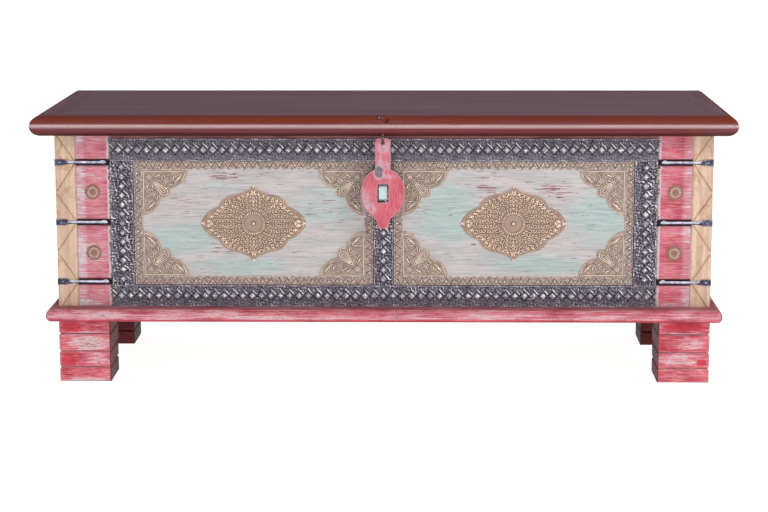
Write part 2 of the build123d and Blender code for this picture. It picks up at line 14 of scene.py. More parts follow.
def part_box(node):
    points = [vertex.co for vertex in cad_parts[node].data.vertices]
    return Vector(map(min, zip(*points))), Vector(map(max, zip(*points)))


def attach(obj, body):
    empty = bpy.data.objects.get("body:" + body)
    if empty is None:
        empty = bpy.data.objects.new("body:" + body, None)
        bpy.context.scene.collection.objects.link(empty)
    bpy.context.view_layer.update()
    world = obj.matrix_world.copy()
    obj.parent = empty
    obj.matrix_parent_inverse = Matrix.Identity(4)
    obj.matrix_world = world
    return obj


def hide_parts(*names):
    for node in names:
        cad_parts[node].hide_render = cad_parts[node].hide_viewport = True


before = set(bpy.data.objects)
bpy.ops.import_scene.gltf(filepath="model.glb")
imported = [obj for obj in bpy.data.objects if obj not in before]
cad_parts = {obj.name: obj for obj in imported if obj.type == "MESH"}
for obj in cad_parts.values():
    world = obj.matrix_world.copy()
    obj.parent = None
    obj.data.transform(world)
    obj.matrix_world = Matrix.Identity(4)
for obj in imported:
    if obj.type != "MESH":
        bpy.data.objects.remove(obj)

log = logging.getLogger("chest")

MM = 0.001
RELIEF = "relief"
SHARP_ANGLE = 70.0
MERGE_GAP = 1e-4

# Sizes of the case that its finishes and fixings go by, in millimetres
CASE_HALF_LENGTH = 549.0
CASE_HALF_DEPTH = 190.0
CASE_WALL = 16.5
CASE_FOOT = 129.5
CASE_RIM = 417.0
STRAP_LEVELS = (171.0, 272.3, 373.6)

Point = tuple[float, float]
Triple = tuple[float, float, float]
Colour = Triple
Array = np.ndarray
Number = Union[float, "Signal"]


def seen(red: float, green: float, blue: float) -> Colour:
    """Turns a colour as the eye names it, from 0 to 255, into light.

    Args:
        red: Red as displayed.
        green: Green as displayed.
        blue: Blue as displayed.

    Returns:
        The linear colour.
    """
    parts = []
    for value in (red, green, blue):
        share = value / 255
        parts.append(share / 12.92 if share <= 0.04045 else ((share + 0.055) / 1.055) ** 2.4)
    return (parts[0], parts[1], parts[2])


def toned(colour: Colour, share: float) -> Colour:
    """Makes a colour darker, or lighter where the share is above 1."""
    red, green, blue = (min(part * share, 1.0) for part in colour)
    return (red, green, blue)


# Node trees as Python expressions

class Signal:
    """A socket of a node tree, whose arithmetic adds Math nodes."""

    def __init__(self, graph: "Graph", socket: bpy.types.NodeSocket) -> None:
        """Keeps a socket and the wrapper of the tree that it is in."""
        self.graph = graph
        self.socket = socket

    def output(self, name: int | str) -> "Signal":
        """Returns another output of the same node, by its name or number."""
        return Signal(self.graph, self.socket.node.outputs[name])

    def _math(self, operation: str, *terms: Number) -> "Signal":
        """Adds one Math node for an operation on these terms."""
        return self.graph.node("ShaderNodeMath", {"operation": operation}, dict(enumerate(terms)))

    def __add__(self, other: Number) -> "Signal":
        """Adds."""
        return self._math("ADD", self, other)

    def __radd__(self, other: Number) -> "Signal":
        """Adds, from the right."""
        return self._math("ADD", other, self)

    def __sub__(self, other: Number) -> "Signal":
        """Subtracts."""
        return self._math("SUBTRACT", self, other)

    def __rsub__(self, other: Number) -> "Signal":
        """Subtracts this from a number."""
        return self._math("SUBTRACT", other, self)

    def __mul__(self, other: Number) -> "Signal":
        """Multiplies."""
        return self._math("MULTIPLY", self, other)

    def __rmul__(self, other: Number) -> "Signal":
        """Multiplies, from the right."""
        return self._math("MULTIPLY", other, self)

    def __truediv__(self, other: Number) -> "Signal":
        """Divides."""
        return self._math("DIVIDE", self, other)

    def __abs__(self) -> "Signal":
        """Drops the sign."""
        return self._math("ABSOLUTE", self)

    def largest(self, other: Number) -> "Signal":
        """Returns the larger of the two."""
        return self._math("MAXIMUM", self, other)

    def smallest(self, other: Number) -> "Signal":
        """Returns the smaller of the two."""
        return self._math("MINIMUM", self, other)

    def step(self, low: float, high: float) -> "Signal":
        """Rises smoothly from 0 to 1.

        Args:
            low: Where it leaves 0.
            high: Where it reaches 1, or below low for a fall.

        Returns:
            The signal between 0 and 1.
        """
        rising = high > low
        ends = {1: low, 2: high, 3: 0.0, 4: 1.0} if rising else {1: high, 2: low, 3: 1.0, 4: 0.0}
        return self.graph.node("ShaderNodeMapRange", {"interpolation_type": "SMOOTHSTEP", "clamp": True},
                               {0: self, **ends})


class Graph:
    """A node tree that is written from the script."""

    def __init__(self, tree: bpy.types.NodeTree) -> None:
        """Empties a tree and keeps it."""
        self.tree = tree
        tree.nodes.clear()

    def node(self, kind: str, settings: dict[str, Any] | None = None,
             inputs: dict[int | str, Any] | None = None, output: int | str = 0) -> Signal:
        """Adds a node.

        Args:
            kind: The node's type.
            settings: Its settings, which are set first.
            inputs: Values or signals by socket name or number.
            output: Which output the signal is.

        Returns:
            The signal of that output.
        """
        made = self.tree.nodes.new(kind)
        for name, value in (settings or {}).items():
            setattr(made, name, value)
        for name, value in (inputs or {}).items():
            socket = made.inputs[name]
            if isinstance(value, Signal):
                self.tree.links.new(value.socket, socket)
            elif hasattr(socket.default_value, "__len__") and len(socket.default_value) == 4:
                socket.default_value = (*value, 1.0)  # a colour, in full
            else:
                socket.default_value = value
        return Signal(self, made.outputs[output] if len(made.outputs) else made.inputs[0])

    def mix(self, share: Number, low: Colour | Signal, high: Colour | Signal) -> Signal:
        """Mixes two colours; the share is how much of the second one shows."""
        return self.node("ShaderNodeMix", {"data_type": "RGBA"}, {0: share, 6: low, 7: high}, 2)


class Surface(Graph):
    """A material's tree, with the patterns that the finishes share."""

    def __init__(self, tree: bpy.types.NodeTree) -> None:
        """Adds the object's own coordinates to an empty tree.

        Args:
            tree: The material's tree.
        """
        super().__init__(tree)
        self.place = self.node("ShaderNodeTexCoord", output="Object")
        self.x = self.node("ShaderNodeSeparateXYZ", inputs={0: self.place})
        self.y = self.x.output("Y")
        self.z = self.x.output("Z")

    def noise(self, size: Triple, detail: float = 3.0, seed: float = 0.0,
              roughness: float = 0.55, distortion: float = 0.0) -> Signal:
        """Makes soft noise of a real size.

        Args:
            size: The size of its blotches along X, Y and Z, in millimetres.
            detail: How many finer layers it has.
            seed: A shift that makes it another pattern.
            roughness: How strong the finer layers are.
            distortion: How far it is warped.

        Returns:
            The noise, from 0 to 1 about 0.5.
        """
        scale = tuple(1 / (part * MM) for part in size)
        place = self.node("ShaderNodeMapping", inputs={"Vector": self.place, "Scale": scale,
                                                       "Location": (seed, seed * 0.7, -seed)})
        return self.node("ShaderNodeTexNoise", {"noise_dimensions": "3D"},
                         {"Vector": place, "Scale": 1.0, "Detail": detail, "Roughness": roughness,
                          "Distortion": distortion})

    def edges(self, reach: float) -> Signal:
        """Finds the piece's own sharp edges.

        Args:
            reach: How far from an edge it fades, in millimetres.

        Returns:
            A signal that is 0 on flat faces and rises to 1 on an edge.
        """
        soft = self.node("ShaderNodeBevel", {"samples": 4}, {"Radius": reach * MM})
        hard = self.node("ShaderNodeNewGeometry", output="True Normal")
        same = self.node("ShaderNodeVectorMath", {"operation": "DOT_PRODUCT"}, {0: soft, 1: hard}, "Value")
        return (1.0 - same).step(0.01, 0.22)

    def bump(self, height: Signal, depth: float, strength: float = 1.0) -> Signal:
        """Turns a height from 0 to 1 into a normal; the depth is what 1 stands for, in millimetres."""
        return self.node("ShaderNodeBump", inputs={"Height": height, "Distance": depth * MM,
                                                   "Strength": strength})


# Finishes

class Grain(Enum):
    """The direction in which a piece's grain and streaks run."""

    LENGTH = 0
    DEPTH = 1
    HEIGHT = 2

    def size(self, along: float, across: float) -> Triple:
        """Gives the size of a streak along X, Y and Z.

        Args:
            along: Its length.
            across: Its width.

        Returns:
            The three sizes.
        """
        parts = [across, across, across]
        parts[self.value] = along
        return (parts[0], parts[1], parts[2])


@dataclass
class Shade:
    """What a finish gives to the shader."""

    colour: Colour | Signal
    roughness: Number
    metallic: Number = 0.0
    coat: Number = 0.0
    coat_roughness: float = 0.1
    coat_ior: float = 1.5
    specular: float = 0.5
    normal: Signal | None = None


@dataclass(frozen=True)
class Finish(ABC):
    """A finish that makes its own material once."""

    name: str

    @abstractmethod
    def shade(self, surface: Surface) -> Shade:
        """Draws the finish in a material's tree and gives what goes into the shader."""

    def material(self) -> bpy.types.Material:
        """Makes the finish's material, once.

        Returns:
            The material.
        """
        found = bpy.data.materials.get(self.name)
        if found is not None:
            return found
        made = bpy.data.materials.new(self.name)
        made.use_nodes = True
        surface = Surface(made.node_tree)
        shade = self.shade(surface)
        inputs: dict[int | str, Any] = {
            "Base Color": shade.colour, "Roughness": shade.roughness, "Metallic": shade.metallic,
            "Coat Weight": shade.coat, "Coat Roughness": shade.coat_roughness,
            "Coat IOR": shade.coat_ior, "Specular IOR Level": shade.specular,
        }
        if shade.normal is not None:
            inputs["Normal"] = shade.normal
        shader = surface.node("ShaderNodeBsdfPrincipled", inputs=inputs)
        surface.node("ShaderNodeOutputMaterial", inputs={"Surface": shader})
        return made

    def put_on(self, piece: bpy.types.Object) -> None:
        """Gives the finish to a whole piece."""
        piece.data.materials.clear()
        piece.data.materials.append(self.material())


@dataclass(frozen=True)
class Scuff:
    """A spot of a coat that differs, as seen from the front, in millimetres."""

    x: float
    z: float
    half_width: float
    half_height: float
    strength: float = 0.2

    def share(self, surface: Surface) -> Signal:
        """Gives the spot's strength over the surface.

        Args:
            surface: The material's tree.

        Returns:
            A signal that falls from the strength to 0 at the spot's rim.
        """
        across = (surface.x - self.x * MM) / (self.half_width * MM)
        up = (surface.z - self.z * MM) / (self.half_height * MM)
        return (across * across + up * up).step(1.0, 0.0) * self.strength


@dataclass(frozen=True)
class WornPaint(Finish):
    """Layers of old paint on wood, rubbed through in streaks and along the edges.

    Painted shade lies below the lower level and on faces nearer the middle than the inward limit, and the
    paint is darker above the upper level, all in millimetres. A finish that is on the case also has painted
    shade in the hollows behind its outer faces.
    """

    coat: Colour
    faded: Colour
    primer: Colour
    wood: Colour
    grain: Grain = Grain.LENGTH
    wear: float = 0.5
    fading: float = 0.5
    streak: Point = (34.0, 1.5)
    edge_wear: float = 0.2
    scuffs: tuple[Scuff, ...] = ()
    on_case: bool = True
    blotches: float = 0.4
    # colour of the painted shade low down and on inward faces, and of the darker top
    grime: Colour = (0.12, 0.03, 0.035)
    grimy_levels: Point = (-1000.0, 1000.0)
    grimy_inside: float = -1000.0

    def shade(self, surface: Surface) -> Shade:
        """Draws the coats one over the other.

        Args:
            surface: The material's tree.

        Returns:
            What goes into the shader.
        """
        patches = surface.noise(self.grain.size(70.0, 34.0), detail=3.0, seed=3.1, roughness=0.6)
        streaks = surface.noise(self.grain.size(*self.streak), detail=4.0, seed=7.7, roughness=0.7)
        fine = surface.noise(self.grain.size(11.0, 0.8), detail=3.0, seed=5.2, roughness=0.7)
        worn = streaks * 0.5 + patches * 0.3 + fine * 0.2 + surface.edges(5.0) * self.edge_wear
        for scuff in self.scuffs:
            worn = worn + scuff.share(surface)
        fade = 0.60 - 0.16 * self.fading
        colour = surface.mix(patches.step(0.58, 0.38) * self.blotches, self.coat, toned(self.coat, 0.62))
        colour = surface.mix(worn.step(fade - 0.09, fade + 0.11) * 0.9, colour, self.faded)
        through = 0.66 - 0.14 * self.wear
        primer = worn.step(through, through + 0.06)
        colour = surface.mix(primer, colour, self.primer)
        bare = (worn * 0.8 + fine * 0.2).step(through + 0.07, through + 0.12)
        wood = surface.mix(fine.step(0.35, 0.65), toned(self.wood, 0.5), self.wood)
        colour = surface.mix(bare, colour, wood)
        pits = surface.noise(self.grain.size(7.0, 1.4), detail=2.0, seed=12.4)
        colour = surface.mix(pits.step(0.63, 0.71) * 0.7, colour, toned(self.wood, 0.35))
        # painted shade below the lower level and on inward faces, and a darker top above the upper level
        colour = surface.mix(self._grimy(surface) * (0.75 + patches * 0.5), colour, self.grime)
        if self.on_case:
            colour = self._recess_shade_and_bare_inside(surface, colour, wood)
        height = 1.0 - primer * 0.45 - bare * 0.4 + fine * 0.35
        return Shade(colour=colour, roughness=0.55 + fine * 0.2, specular=0.25,
                     normal=surface.bump(height, 0.35, 0.7))

    def _grimy(self, surface: Surface) -> Signal:
        """Draws the painted shade and the darker top.

        Args:
            surface: The material's tree.

        Returns:
            Painted shade below the lower level and on inward faces, and darkening above the upper level.
        """
        lower, upper = self.grimy_levels
        below = surface.z.step((lower + 2.5) * MM, lower * MM)
        above = surface.z.step((upper - 0.6) * MM, upper * MM)
        inside = abs(surface.x).step((self.grimy_inside + 3.0) * MM, (self.grimy_inside + 1.0) * MM)
        return below * 0.65 + above * 0.38 + inside * 0.9

    def _recess_shade_and_bare_inside(self, surface: Surface, colour: Signal, wood: Signal) -> Signal:
        """Paints shade on what lies behind the case's outer faces, and leaves its inside as bare wood.

        Args:
            surface: The material's tree.
            colour: The colour of the outer faces.
            wood: The colour of the bare wood.

        Returns:
            The colour everywhere.
        """
        depth = (CASE_HALF_LENGTH * MM - abs(surface.x)).smallest(CASE_HALF_DEPTH * MM - abs(surface.y))
        # painted shade in the recesses a few millimetres behind the outer faces, such as the notches under
        # the straps
        behind = depth.step(0.9 * MM, 3.0 * MM) * surface.z.step((CASE_RIM + 1.0) * MM, CASE_RIM * MM)
        inside = (depth.step(CASE_WALL * MM, (CASE_WALL + 1.0) * MM)
                  * surface.z.step(CASE_FOOT * MM, (CASE_FOOT + 0.5) * MM))
        return surface.mix(inside, surface.mix(behind * 0.88, colour, toned(self.wood, 0.12)), wood)


@dataclass(frozen=True)
class PanelPaint(Finish):
    """A thin wash of teal over a grey ground, with dark pores and places rubbed to the red beneath.

    The washes are where the teal lies thickest, and the scuffs are where it is rubbed.
    """

    ground: Colour
    teal: Colour
    blush: Colour
    beneath: Colour
    dark: Colour
    washes: tuple[Scuff, ...] = ()
    scuffs: tuple[Scuff, ...] = ()

    def shade(self, surface: Surface) -> Shade:
        """Draws the ground, the wash and the wear.

        Args:
            surface: The material's tree.

        Returns:
            What goes into the shader.
        """
        drift = surface.noise((120.0, 60.0, 20.0), detail=3.0, seed=2.3, roughness=0.6)
        cloud = surface.noise((80.0, 60.0, 9.0), detail=4.0, seed=9.4, roughness=0.6)
        streaks = surface.noise((46.0, 20.0, 1.7), detail=4.0, seed=6.6, roughness=0.7)
        flecks = surface.noise((9.0, 10.0, 1.5), detail=2.0, seed=4.1, roughness=0.6)
        scratches = surface.noise((26.0, 20.0, 1.2), detail=2.0, seed=15.2, roughness=0.5)
        wash = (drift - 0.5) * 0.5
        for spot in self.washes:
            wash = wash + spot.share(surface)
        rubbed = streaks * 0.45 + flecks * 0.25 + scratches * 0.3 - 0.5
        for spot in self.scuffs:
            rubbed = rubbed + spot.share(surface)
        colour = surface.mix(cloud.step(0.38, 0.62) * 0.7, self.ground, self.blush)
        colour = surface.mix((wash + (streaks - 0.5) * 0.65).step(0.0, 0.40) * 0.9, colour, self.teal)
        colour = surface.mix((streaks - 0.5).step(0.0, 0.16) * 0.7, colour, toned(self.ground, 1.42))
        colour = surface.mix((0.5 - streaks).step(0.02, 0.17) * 0.5, colour, toned(self.ground, 0.56))
        colour = surface.mix(rubbed.step(0.08, 0.14) * 0.7, colour, self.blush)
        through = (rubbed * 0.8 + (scratches - 0.5) * 0.5).step(0.135, 0.195)
        colour = surface.mix(through * 0.85, colour, self.beneath)
        pores = (flecks * 0.5 + scratches * 0.5).step(0.61, 0.67)
        colour = surface.mix(pores * 0.7, colour, self.dark)
        height = 1.0 - rubbed.step(0.12, 0.22) * 0.6 + streaks * 0.5
        return Shade(colour=colour, roughness=0.5 + streaks * 0.25, specular=0.25,
                     normal=surface.bump(height, 0.3, 0.6))


@dataclass(frozen=True)
class BareWood(Finish):
    """Wood with its grain showing, waxed or left dull."""

    light: Colour
    dark: Colour
    stain: Colour
    grain: Grain = Grain.LENGTH
    figure: Point = (120.0, 8.0)
    stained: float = 0.45
    dullness: float = 0.55

    def shade(self, surface: Surface) -> Shade:
        """Draws growth rings, pores and stains.

        Args:
            surface: The material's tree.

        Returns:
            What goes into the shader.
        """
        figure = surface.noise(self.grain.size(*self.figure),
                               detail=3.0, seed=2.2, roughness=0.5, distortion=0.6)
        pores = surface.noise(self.grain.size(12.0, 0.8), detail=3.0, seed=8.1, roughness=0.7)
        blotch = surface.noise(self.grain.size(24.0, 15.0), detail=4.0, seed=4.4, roughness=0.65)
        colour = surface.mix(figure.step(0.34, 0.66), self.light, self.dark)
        colour = surface.mix(pores.step(0.54, 0.70) * 0.6, colour, self.stain)
        marks = blotch.step(0.52, 0.70) * self.stained + surface.edges(4.0) * self.stained
        colour = surface.mix(marks, colour, self.stain)
        return Shade(colour=colour, roughness=self.dullness + pores * 0.2, specular=0.3,
                     normal=surface.bump(figure * 0.4 + pores * 0.6, 0.3, 0.7))


@dataclass(frozen=True)
class PolishedWood(Finish):
    """Dark stained wood under a wax polish, for a board with a rounded nose along its edges.

    The nose starts at nose_x and nose_y from the middle. Above the shoulder it is rubbed bright, at the
    crown's level the polish has built up over a pale painted highlight, lower down the nose has painted
    shade, and below the bottom the wood is raw. All are in millimetres.
    """

    dark: Colour
    light: Colour
    rubbed: Colour
    low: Colour
    # the crown is the colour of a painted highlight along the nose
    crown: Colour
    raw: Colour
    nose_x: float
    nose_y: float
    shoulder: float
    painted_highlight_level: float = 438.5
    bottom: float = 424.5
    grain: Grain = Grain.LENGTH

    def shade(self, surface: Surface) -> Shade:
        """Draws the stain, the rubbed edge and the polish.

        Args:
            surface: The material's tree.

        Returns:
            What goes into the shader.
        """
        shoulder, bottom = self.shoulder * MM, self.bottom * MM
        figure = surface.noise(self.grain.size(420.0, 11.0),
                               detail=4.0, seed=1.7, roughness=0.55, distortion=0.4)
        streaks = surface.noise(self.grain.size(150.0, 3.4), detail=4.0, seed=6.4, roughness=0.65)
        pores = surface.noise(self.grain.size(16.0, 0.7), detail=2.0, seed=9.2)
        figured = figure.step(0.36, 0.64)
        colour = surface.mix(surface.z.step(bottom + 4.0 * MM, bottom),
                             surface.mix(figured, self.dark, self.light),
                             surface.mix(figured, self.low, self.raw))
        colour = surface.mix(streaks.step(0.48, 0.66) * 0.55, colour, toned(self.dark, 0.45))
        outward = (abs(surface.x) - self.nose_x * MM).largest(abs(surface.y) - self.nose_y * MM)
        nose = outward.step(-1.0 * MM, 6.0 * MM)
        upper = nose * surface.z.step(shoulder - 6.0 * MM, shoulder + 3.0 * MM)
        varied = (streaks * 0.6 + figure * 0.4).step(0.38, 0.60) * 0.8 + 0.1
        colour = surface.mix(nose * (0.35 + streaks * 0.7), colour, self.low)
        colour = surface.mix(upper * varied, colour, self.rubbed)
        colour = surface.mix(pores.step(0.56, 0.70) * 0.5, colour, toned(self.dark, 0.3))
        # painted shade on the lower part of the nose, which faces down
        nose_underside_shade = nose * surface.z.step(shoulder - 15.0 * MM, shoulder - 24.0 * MM)
        colour = surface.mix(nose_underside_shade * 0.8, colour, toned(self.low, 0.25))
        # painted highlight: a pale band along the nose, where the polish has built up
        painted_highlight_band = abs(surface.z - self.painted_highlight_level * MM).step(5.2 * MM, 1.2 * MM) * nose
        colour = surface.mix(painted_highlight_band * (0.2 + varied * 0.5), colour, self.crown)
        return Shade(colour=colour, roughness=0.42 + figure * 0.16, coat=painted_highlight_band, coat_roughness=0.28,
                     coat_ior=2.3, specular=0.13,
                     normal=surface.bump(streaks * 0.6 + pores * 0.4, 0.14, 0.5))


@dataclass(frozen=True)
class Embossed(Finish):
    """Thin metal raised from behind, dark in the hollows and rubbed bright on the crests."""

    hollow: Colour
    body: Colour
    crest: Colour
    metallic: float = 0.5
    dullness: float = 0.42
    dirt: Colour = (0.03, 0.025, 0.03)
    dirty: float = 0.6
    crest_start: float = 0.42
    mottling: float = 11.0

    def shade(self, surface: Surface) -> Shade:
        """Draws the patina by the height of the relief.

        Args:
            surface: The material's tree.

        Returns:
            What goes into the shader.
        """
        relief = surface.node("ShaderNodeAttribute", {"attribute_name": RELIEF}, output="Fac")
        mottle = surface.noise((self.mottling, self.mottling, self.mottling),
                               detail=4.0, seed=2.9, roughness=0.7)
        grit = surface.noise((1.7, 1.7, 1.7), detail=3.0, seed=6.1, roughness=0.6)
        level = relief + (mottle - 0.5) * 0.5 + (grit - 0.5) * 0.5
        colour = surface.mix(level.step(-0.02, 0.36), self.hollow, self.body)
        bright = level.step(self.crest_start, self.crest_start + 0.42)
        colour = surface.mix(bright, colour, self.crest)
        colour = surface.mix((mottle * 0.6 + grit * 0.4).step(0.54, 0.66) * self.dirty, colour, self.dirt)
        return Shade(colour=colour, roughness=self.dullness + (1.0 - bright) * 0.25 + grit * 0.1,
                     metallic=self.metallic, normal=surface.bump(grit * 0.6 + mottle * 0.4, 0.25, 0.6))


@dataclass(frozen=True)
class ForgedIron(Finish):
    """Hammered iron, dark with scale and polished by hands along its edges.

    A bar of it at one of the levels has a painted highlight along its top and painted shade below, out to
    the reach from the chest's middle. Both are in millimetres.
    """

    scale: Colour
    bare: Colour
    shine: float = 0.3
    polish: float = 0.55
    metallic: float = 0.75
    # the levels of the bars that get a painted highlight on top and painted shade below
    levels: tuple[float, ...] = ()
    reach: float = 533.0

    def shade(self, surface: Surface) -> Shade:
        """Draws hammer marks, scale and bright edges.

        Args:
            surface: The material's tree.

        Returns:
            What goes into the shader.
        """
        marks = surface.noise((9.0, 7.0, 7.0), detail=2.0, seed=1.9)
        grit = surface.noise((1.3, 1.1, 1.1), detail=3.0, seed=4.8)
        polished = surface.edges(2.2) * self.polish + (marks - 0.35) * 0.9 + (grit - 0.5) * 0.6
        # painted highlight along each bar's top and painted shade below it
        for level in self.levels:
            up = surface.z - level * MM
            bar = (abs(up).step(10.0 * MM, 9.0 * MM)
                   * abs(surface.x).step(self.reach * MM, (self.reach - 6.0) * MM))
            top, foot = up.step(-2.2 * MM, -0.2 * MM), up.step(-0.8 * MM, -2.0 * MM)
            polished = polished + bar * top * 0.35 - bar * foot * 0.5
        bright = polished.step(0.10, 0.70)
        colour = surface.mix(bright, self.scale, self.bare)
        return Shade(colour=colour, roughness=self.shine + (1.0 - bright) * 0.25, metallic=self.metallic,
                     normal=surface.bump(marks * 0.7 + grit * 0.3, 0.35, 0.6))


# Relief

# Half the width of the line that draws a loop, in millimetres
LOOP_LINE = 0.85


class Form(Enum):
    """The shape of a raised stroke."""

    ROUND = "a round bar of one width"
    SPRAY = "a round bar, pointed at both ends"
    LOOP = "a line round a drop that widens to its end"


@dataclass(frozen=True)
class Stroke:
    """A raised stroke of an ornament along a smooth curve, in millimetres."""

    points: tuple[Point, ...]
    width: float
    form: Form = Form.ROUND
    height: float = 1.0

    def line(self, count: int = 14) -> tuple[Array, Array]:
        """Follows the curve that its points control.

        Args:
            count: How many places to give.

        Returns:
            The share of the way at each place, and the places.
        """
        share = np.linspace(0.0, 1.0, count)
        points = [np.outer(np.ones(count), point) for point in self.points]
        while len(points) > 1:
            points = [a * (1 - share[:, None]) + b * share[:, None] for a, b in zip(points, points[1:])]
        return share, points[0]

    def reach(self) -> tuple[Array, Array]:
        """Gives the lowest and highest corner of the box that the stroke stays in."""
        points = np.array(self.points)
        return points.min(axis=0) - self.width, points.max(axis=0) + self.width

    def raised(self, x: Array, z: Array, margin: float = 0.0) -> Array:
        """Gives the stroke's height over a face.

        Args:
            x: Places across.
            z: Places up.
            margin: How much wider the stroke is drawn on each side.

        Returns:
            The height at each place, from 0 to the stroke's height.
        """
        share, line = self.line()
        nearest = np.full(x.shape, 1e9)
        along = np.zeros(x.shape)
        for index in range(len(line) - 1):
            start, step = line[index], line[index + 1] - line[index]
            reach = ((x - start[0]) * step[0] + (z - start[1]) * step[1]) / max(step @ step, 1e-9)
            reach = np.clip(reach, 0.0, 1.0)
            gap = np.hypot(x - start[0] - reach * step[0], z - start[1] - reach * step[1])
            closer = gap < nearest
            nearest = np.where(closer, gap, nearest)
            along = np.where(closer, share[index] + reach * (share[index + 1] - share[index]), along)
        half = self.width / 2 * self._taper(along)
        if self.form is Form.LOOP:
            return self.height * ridge(nearest - half, LOOP_LINE + margin)
        section = nearest / np.maximum(half + margin, 1e-6)
        return self.height * np.sqrt(np.clip(1 - section ** 2, 0.0, 1.0))

    def _taper(self, along: Array) -> Array:
        """Narrows the stroke.

        Args:
            along: The share of the way at each place.

        Returns:
            The share of the width there.
        """
        if self.form is Form.SPRAY:
            return 0.25 + 0.75 * np.sin(np.pi * np.clip(along, 0.0, 1.0))
        if self.form is Form.LOOP:
            return 0.2 + 0.8 * along ** 0.8
        return np.ones_like(along)


@dataclass(frozen=True)
class Bead:
    """A round bead of an ornament, in millimetres."""

    x: float
    z: float
    radius: float
    height: float = 1.0

    def reach(self) -> tuple[Array, Array]:
        """Gives the lowest and highest corner of the bead's box."""
        middle = np.array((self.x, self.z))
        return middle - self.radius, middle + self.radius

    def raised(self, x: Array, z: Array, margin: float = 0.0) -> Array:
        """Gives the bead's height at places across and up, with the bead drawn larger by the margin."""
        gap = np.hypot(x - self.x, z - self.z) / (self.radius + margin)
        return self.height * np.sqrt(np.clip(1 - gap ** 2, 0.0, 1.0))


def carve(ornament: Iterable[Stroke | Bead], x: Array, z: Array, margin: float = 0.0) -> Array:
    """Raises an ornament from a face.

    Args:
        ornament: Its strokes and beads, of which the highest counts at each place.
        x: Places across.
        z: Places up.
        margin: How much wider each stroke is drawn on each side.

    Returns:
        The height at each place.
    """
    height = np.zeros(x.shape)
    for part in ornament:
        low, high = part.reach()
        low, high = low - margin, high + margin
        near = (x >= low[0]) & (x <= high[0]) & (z >= low[1]) & (z <= high[1])
        if near.any():
            height[near] = np.maximum(height[near], part.raised(x[near], z[near], margin))
    return height


def patina(raised: Array, around: Array, ground: float) -> Array:
    """Gives how clean metal is: bright crests, a plain ground, and painted shade and grime beside strokes.
    """
    # the wider copy darkens a rim beside each stroke: painted shade, and grime
    grime = np.clip((around - raised) * 1.5, 0.0, 1.0)
    return ground * (1 - grime) + (1 - ground) * raised


def tone(ground: Array, raised: Array, sunk: Array) -> Array:
    """Gives how clean embossed metal is by how far its parts are raised and sunk, all from 0 to 1."""
    return np.clip(ground + (1 - ground) * raised - ground * sunk, 0.0, 1.0)


def scroll(centre: Point, radius: float, start: float, sweep: float, width: float) -> list[Stroke]:
    """Winds a scroll inwards round its eye.

    Args:
        centre: The eye's middle.
        radius: How far out the scroll starts.
        start: The direction it starts in, in degrees.
        sweep: How far it winds, in degrees.
        width: The stroke's width.

    Returns:
        The scroll's strokes and no eye.
    """
    parts = []
    count = max(2, round(abs(sweep) / 60))
    for index in range(count):
        ends = []
        for share in (index / count, (index + 0.5) / count, (index + 1) / count):
            turn = math.radians(start + sweep * share)
            out = radius * (1 - 0.62 * share)
            ends.append((centre[0] + out * math.cos(turn), centre[1] + out * math.sin(turn)))
        first, halfway, last = ends
        middle = (2 * halfway[0] - (first[0] + last[0]) / 2, 2 * halfway[1] - (first[1] + last[1]) / 2)
        parts.append(Stroke((first, middle, last), width))
    return parts


class Backing(Enum):
    """How the flat back of a plate is closed."""

    ROWS = "a face from side to side along each row"
    COLUMNS = "a face from side to side along each column"
    MIDDLE = "a fan from the middle"


@dataclass
class Plate:
    """A thin embossed plate, whose face is a grid of places and whose edges and back are closed."""

    x: Array
    z: Array
    height: Array
    relief: Array
    face: float
    backing: Backing = Backing.ROWS

    def mesh_data(self) -> tuple[Array, list[tuple[int, ...]], Array]:
        """Builds the closed shell.

        Returns:
            The points in metres, the faces and the relief at each point.
        """
        places = np.stack([self.x, self.face - self.height, self.z], axis=-1).reshape(-1, 3)
        rounded = np.round(places / MERGE_GAP).astype(np.int64)
        _, first, merged = np.unique(rounded, axis=0, return_index=True, return_inverse=True)
        points = places[first] * MM
        relief = self.relief.reshape(-1)[first].clip(0, 1)
        grid = merged.reshape(self.x.shape)
        quads = np.stack([grid[:-1, :-1], grid[1:, :-1], grid[1:, 1:], grid[:-1, 1:]], -1).reshape(-1, 4)
        faces = [tuple(dict.fromkeys(quad)) for quad in quads.tolist()]
        faces = [quad for quad in faces if len(quad) > 2]
        rim = self._rim(faces)
        rim_points = sorted({a for a, _ in rim})
        behind = {a: len(points) + place for place, a in enumerate(rim_points)}
        middle = len(points) + len(rim_points)
        faces += [(b, a, behind[a], behind[b]) for a, b in rim]
        if self.backing is Backing.MIDDLE:
            faces += [(behind[b], behind[a], middle) for a, b in rim]
        else:
            rows = grid if self.backing is Backing.ROWS else grid[::-1].T
            faces += [tuple(behind[a] for a in face) for face in self._back_rows(rows.tolist())]
        flat = points[rim_points].copy()
        flat[:, 1] = self.face * MM
        extra = [flat, flat.mean(axis=0)[None]] if self.backing is Backing.MIDDLE else [flat]
        points = np.vstack([points, *extra])
        relief = np.concatenate([relief, np.zeros(len(points) - len(relief))])
        return points, faces, relief

    @staticmethod
    def _rim(faces: list[tuple[int, ...]]) -> list[tuple[int, int]]:
        """Finds the edges that only one face has, in that face's direction."""
        edges = {(face[i], face[(i + 1) % len(face)]) for face in faces for i in range(len(face))}
        return sorted((a, b) for a, b in edges if (b, a) not in edges)

    @staticmethod
    def _back_rows(grid: list[list[int]]) -> list[tuple[int, ...]]:
        """Closes the back with one face for each row, and takes in both end rows' points.

        Args:
            grid: The points of each row.

        Returns:
            The faces.
        """
        faces = []
        for index in range(len(grid) - 1):
            face = [grid[index][-1], grid[index + 1][-1]]
            if index == len(grid) - 2:
                face += grid[-1][-2:0:-1]
            face += [grid[index + 1][0], grid[index][0]]
            if index == 0:
                face += grid[0][1:-1]
            if len(set(face)) > 2:
                faces.append(tuple(dict.fromkeys(face)))
        return faces


